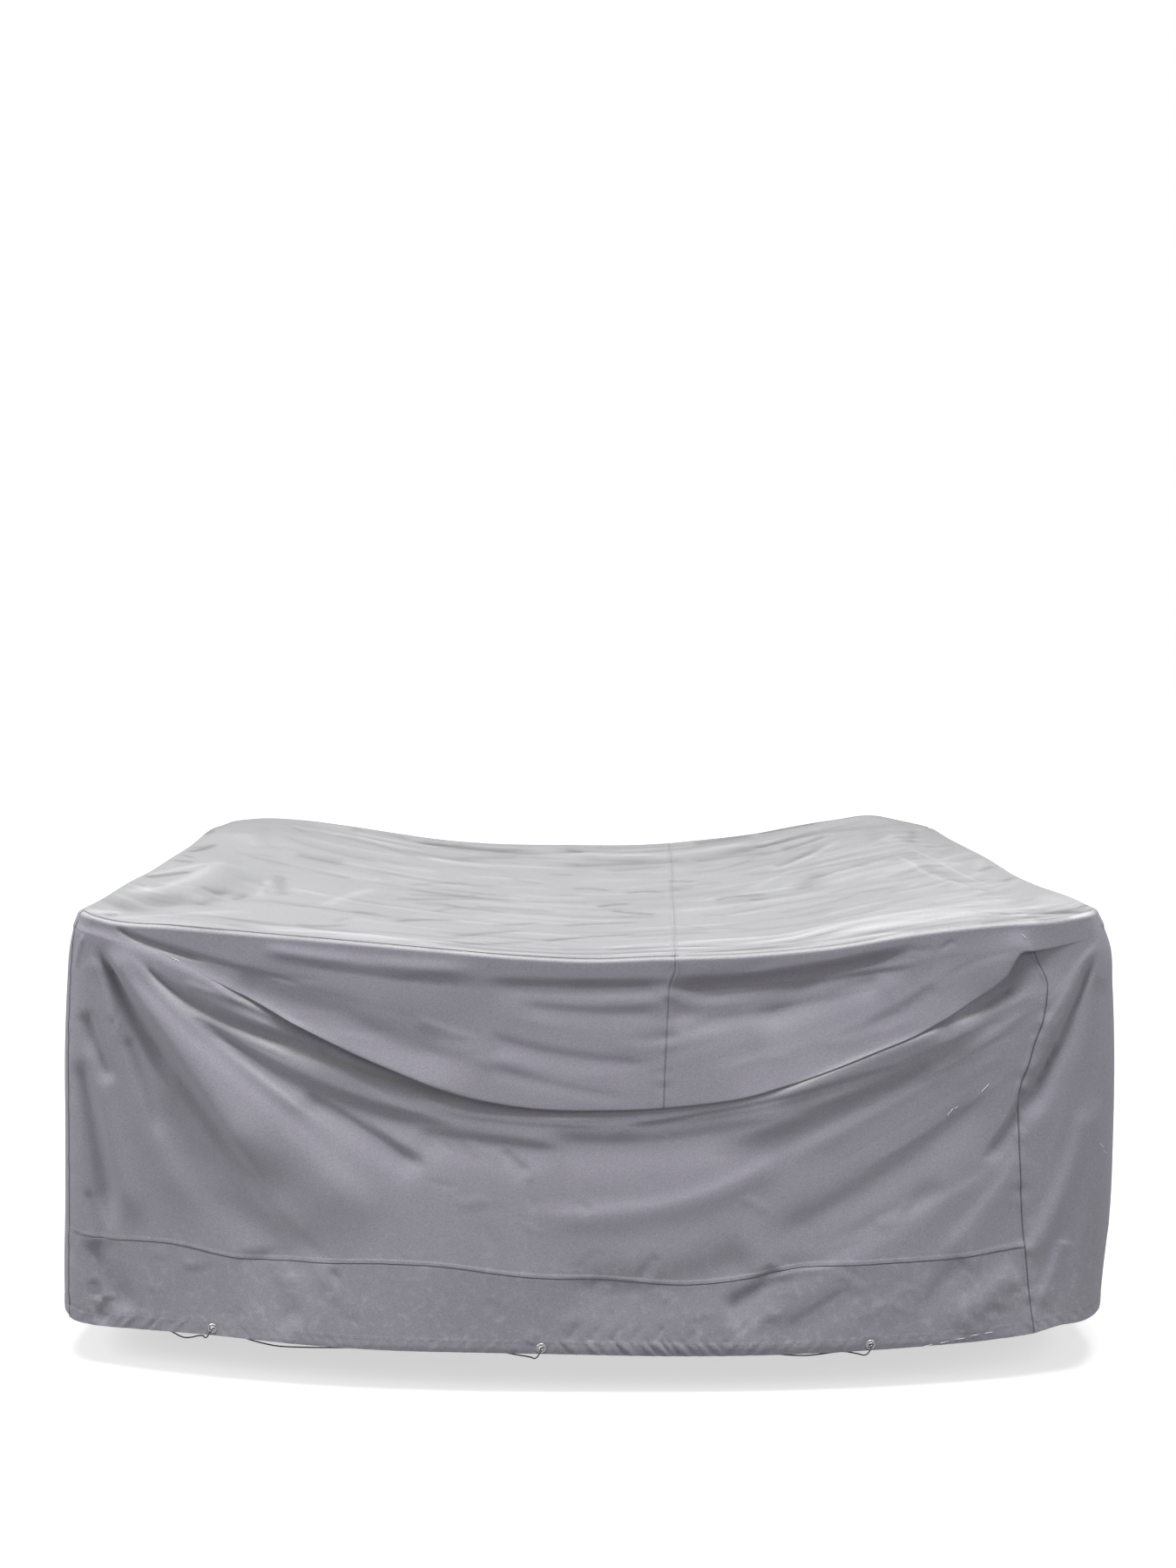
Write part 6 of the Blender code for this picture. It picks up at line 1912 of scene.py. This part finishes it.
@dataclass
class Drawcord:
    """The thin cord through all the eyelets: three strands laid together, with bare ends."""

    shape: CoverShape
    finish: bpy.types.Material
    diameter: float = 0.003
    sides: int = 9
    strands: int = 3
    furrow: float = 0.16  # depth of the furrows between its strands, over its radius
    step: float = 0.004  # from ring to ring of points
    lay: float = 0.014  # length of one turn of its strands

    def beside(self, column: float, inward: float, below: float) -> Array:
        """A place inside the hem.

        Args:
            column: its loop column.
            inward: how far in from the hem.
            below: how far below the hem's edge.

        Returns:
            The point.
        """
        here = self.shape.wall(np.array([column]), np.array([float(HEM_ROW)]), fine=False)[0]
        _, _, nx, ny = self.shape.outline(np.array([column]), np.array([here[2]]))
        return np.array([here[0] - nx[0] * inward, here[1] - ny[0] * inward, here[2] - below])

    def path(self) -> Array:
        """The cord's line, once round the hem.

        Returns:
            Evenly spaced points on a smooth curve through the route.
        """
        start = CORD_ROUTE[0][0]
        stops = [(column, [self.beside(column, inward, below)]) for column, inward, below in CORD_ROUTE]
        for seat in self.shape.seats:
            column = seat.column if seat.column > start else seat.column + LOOP
            stops.append((column, [seat.place(*p) for p in THREADING]))
        route = np.array([p for _, some in sorted(stops, key=lambda stop: stop[0]) for p in some])
        chord = np.concatenate([[0], np.cumsum(np.sqrt(np.linalg.norm(np.diff(route, axis=0), axis=1)))])
        before = np.vstack([2 * route[0] - route[1], route, 2 * route[-1] - route[-2]])
        knots = np.concatenate([[2 * chord[0] - chord[1]], chord, [2 * chord[-1] - chord[-2]]])
        slopes = (before[2:] - before[:-2]) / (knots[2:] - knots[:-2])[:, None]
        at = np.linspace(0, chord[-1], 6000)
        i = np.clip(np.searchsorted(chord, at) - 1, 0, len(chord) - 2)
        wide = (chord[i + 1] - chord[i])[:, None]
        curve = cubic((at[:, None] - chord[i][:, None]) / wide, wide, route, slopes, i)
        run = distances(curve)
        return read_line(curve, run, np.linspace(0, run[-1], int(run[-1] / self.step) + 1))

    def tube(self, path: Array) -> tuple[Array, list[tuple[int, ...]]]:
        """A tube along a path whose section has a lobe for each strand, turning along it, with closed ends.

        Args:
            path: the middle line.

        Returns:
            Points and faces.
        """
        forward = unit(np.gradient(path, axis=0))
        side = unit(np.cross(forward, [0.0, 0.0, 1.0]) + 1e-6)
        other = np.cross(forward, side)
        angle = np.arange(self.sides) * 2 * math.pi / self.sides
        twisted = angle[None] - (2 * math.pi * distances(path) / self.lay)[:, None] / self.strands
        lobes = np.abs(np.cos(self.strands * twisted / 2))
        wide = self.diameter / 2 * (1 - self.furrow + self.furrow * lobes)
        wide[0], wide[-1] = 0.6 * wide[0], 0.6 * wide[-1]
        rings = (path[:, None] + (wide * np.cos(angle))[..., None] * side[:, None]
                 + (wide * np.sin(angle))[..., None] * other[:, None])
        points = np.concatenate([rings.reshape(-1, 3), path[:1], path[-1:]])
        index = np.arange(len(path) * self.sides).reshape(-1, self.sides)
        quads = np.roll(quads_of(index)[:, ::-1], 1, axis=1)  # turned over, to face outwards
        first, last = (np.full(self.sides, index.size + k) for k in (0, 1))
        cap = np.stack([first, index[0], np.roll(index[0], -1)], axis=-1)
        tail = np.stack([last, np.roll(index[-1], -1), index[-1]], axis=-1)
        return points, [tuple(face) for part in (quads, cap, tail) for face in part]

    def build(self) -> None:
        """The cord's mesh, along its path."""
        path = self.path()
        points, faces = self.tube(path)
        mesh = bpy.data.meshes.new("drawcord_yarn")
        mesh.from_pydata(points, [], faces)
        mesh.polygons.foreach_set("use_smooth", [True] * len(mesh.polygons))
        mesh.materials.append(self.finish)
        mesh.update()
        cord = bpy.data.objects.new("drawcord_yarn", mesh)
        bpy.context.scene.collection.objects.link(cord)
        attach(cord, "root")
        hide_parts("drawcord")


@dataclass
class Studio:
    """Pale floor, soft overhead light and the camera."""

    floor_level: float = -0.885
    floor_half: float = 40.0  # half the floor's side
    camera_place: tuple[float, float, float] = (0.0, -3.892, 0.728)
    camera_down: float = 5.68
    lens: float = 33.0
    key_place: tuple[float, float, float] = (0.0, -1.4, 5.0)
    key_aim: tuple[float, float, float] = (0.0, -0.06, 0.0)
    key_size: tuple[float, float] = (5.0, 1.6)
    key_power: float = 472.0
    side_place: tuple[float, float, float] = (3.6, -2.0, 1.5)
    side_aim: tuple[float, float, float] = (0.9, 0.0, -0.35)
    side_size: tuple[float, float] = (1.8, 1.8)
    left_power: float = 66.0
    right_power: float = 40.0
    fill: float = 0.225

    def camera(self) -> None:
        """The camera at the photograph's place and angle."""
        data = bpy.data.cameras.new("camera")
        data.lens, data.sensor_width = self.lens, 36.0
        cam = bpy.data.objects.new("camera", data)
        cam.location = self.camera_place
        cam.rotation_euler = (math.radians(90 - self.camera_down), 0, 0)
        bpy.context.scene.collection.objects.link(cam)
        bpy.context.scene.camera = cam

    def light(self, name: str, place: tuple, aim: tuple, size: tuple, power: float) -> None:
        """One soft rectangular light.

        Args:
            name: its name.
            place: where it hangs.
            aim: what it is turned to.
            size: its two sides.
            power: in watts.
        """
        data = bpy.data.lights.new(name, "AREA")
        data.shape = "RECTANGLE"
        data.size, data.size_y = size
        data.energy = power
        lamp = bpy.data.objects.new(name, data)
        lamp.location = place
        lamp.rotation_euler = (Vector(aim) - Vector(place)).to_track_quat("-Z", "Y").to_euler()
        bpy.context.scene.collection.objects.link(lamp)

    def build(self) -> None:
        """Floor, lights, surroundings and camera."""
        corners = self.floor_half * np.array([(-1, -1, 0), (1, -1, 0), (1, 1, 0), (-1, 1, 0)])
        floor = mesh_object("floor", corners + [0, 0, self.floor_level], np.array([[0, 1, 2, 3]]),
                            PaleFloor().material())
        self.light("overhead", self.key_place, self.key_aim, self.key_size, self.key_power)
        for name, side, power in (("side_left", -1.0, self.left_power),
                                  ("side_right", 1.0, self.right_power)):
            place, aim = ((side * v[0], v[1], v[2]) for v in (self.side_place, self.side_aim))
            self.light(name, place, aim, self.side_size, power)
        world = bpy.data.worlds.new("surroundings")
        world.use_nodes = True
        tree = world.node_tree
        dim = tree.nodes["Background"]
        feed(tree, dim, {"Color": WHITE, "Strength": self.fill})
        seen = add_node(tree, "Background", {"Color": WHITE})
        mixed = by_ray(tree, dim.outputs[0], seen.outputs[0])
        tree.links.new(mixed, tree.nodes["World Output"].inputs["Surface"])
        bpy.context.scene.world = world
        bpy.context.scene.view_settings.view_transform = "Standard"
        self.camera()


def main() -> None:
    """Builds the studio, the cord, the panels, the stitches and the eyelets, and notes the sizes."""
    logging.basicConfig(level=logging.INFO, format="%(name)s: %(message)s")
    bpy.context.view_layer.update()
    Studio().build()
    shape = CoverShape()
    shape.seats = [Seat(name, column + spans / 2, shape) for name, column, spans in EYELETS]
    yarn = Plain("cord_yarn_finish", (0.055, 0.055, 0.065), roughness=0.85, grain=900.0, bump=0.0003)
    metal = Plain("eyelet_metal_finish", (0.66, 0.66, 0.67), metallic=1.0, roughness=0.32, grain=300.0)
    thread = Plain("thread_finish", (0.30, 0.295, 0.33), roughness=0.8, grain=900.0)
    pale = Plain("pale_thread_finish", (0.75, 0.75, 0.76), roughness=0.8, grain=900.0)
    Drawcord(shape, yarn.material()).build()
    EyeletRings(shape, metal.material()).build()
    panels = ClothPanels(shape, CoatedCloth().material()).build()
    Stitching(shape, thread.material(), pale.material()).build()


if __name__ == "__main__":
    main()
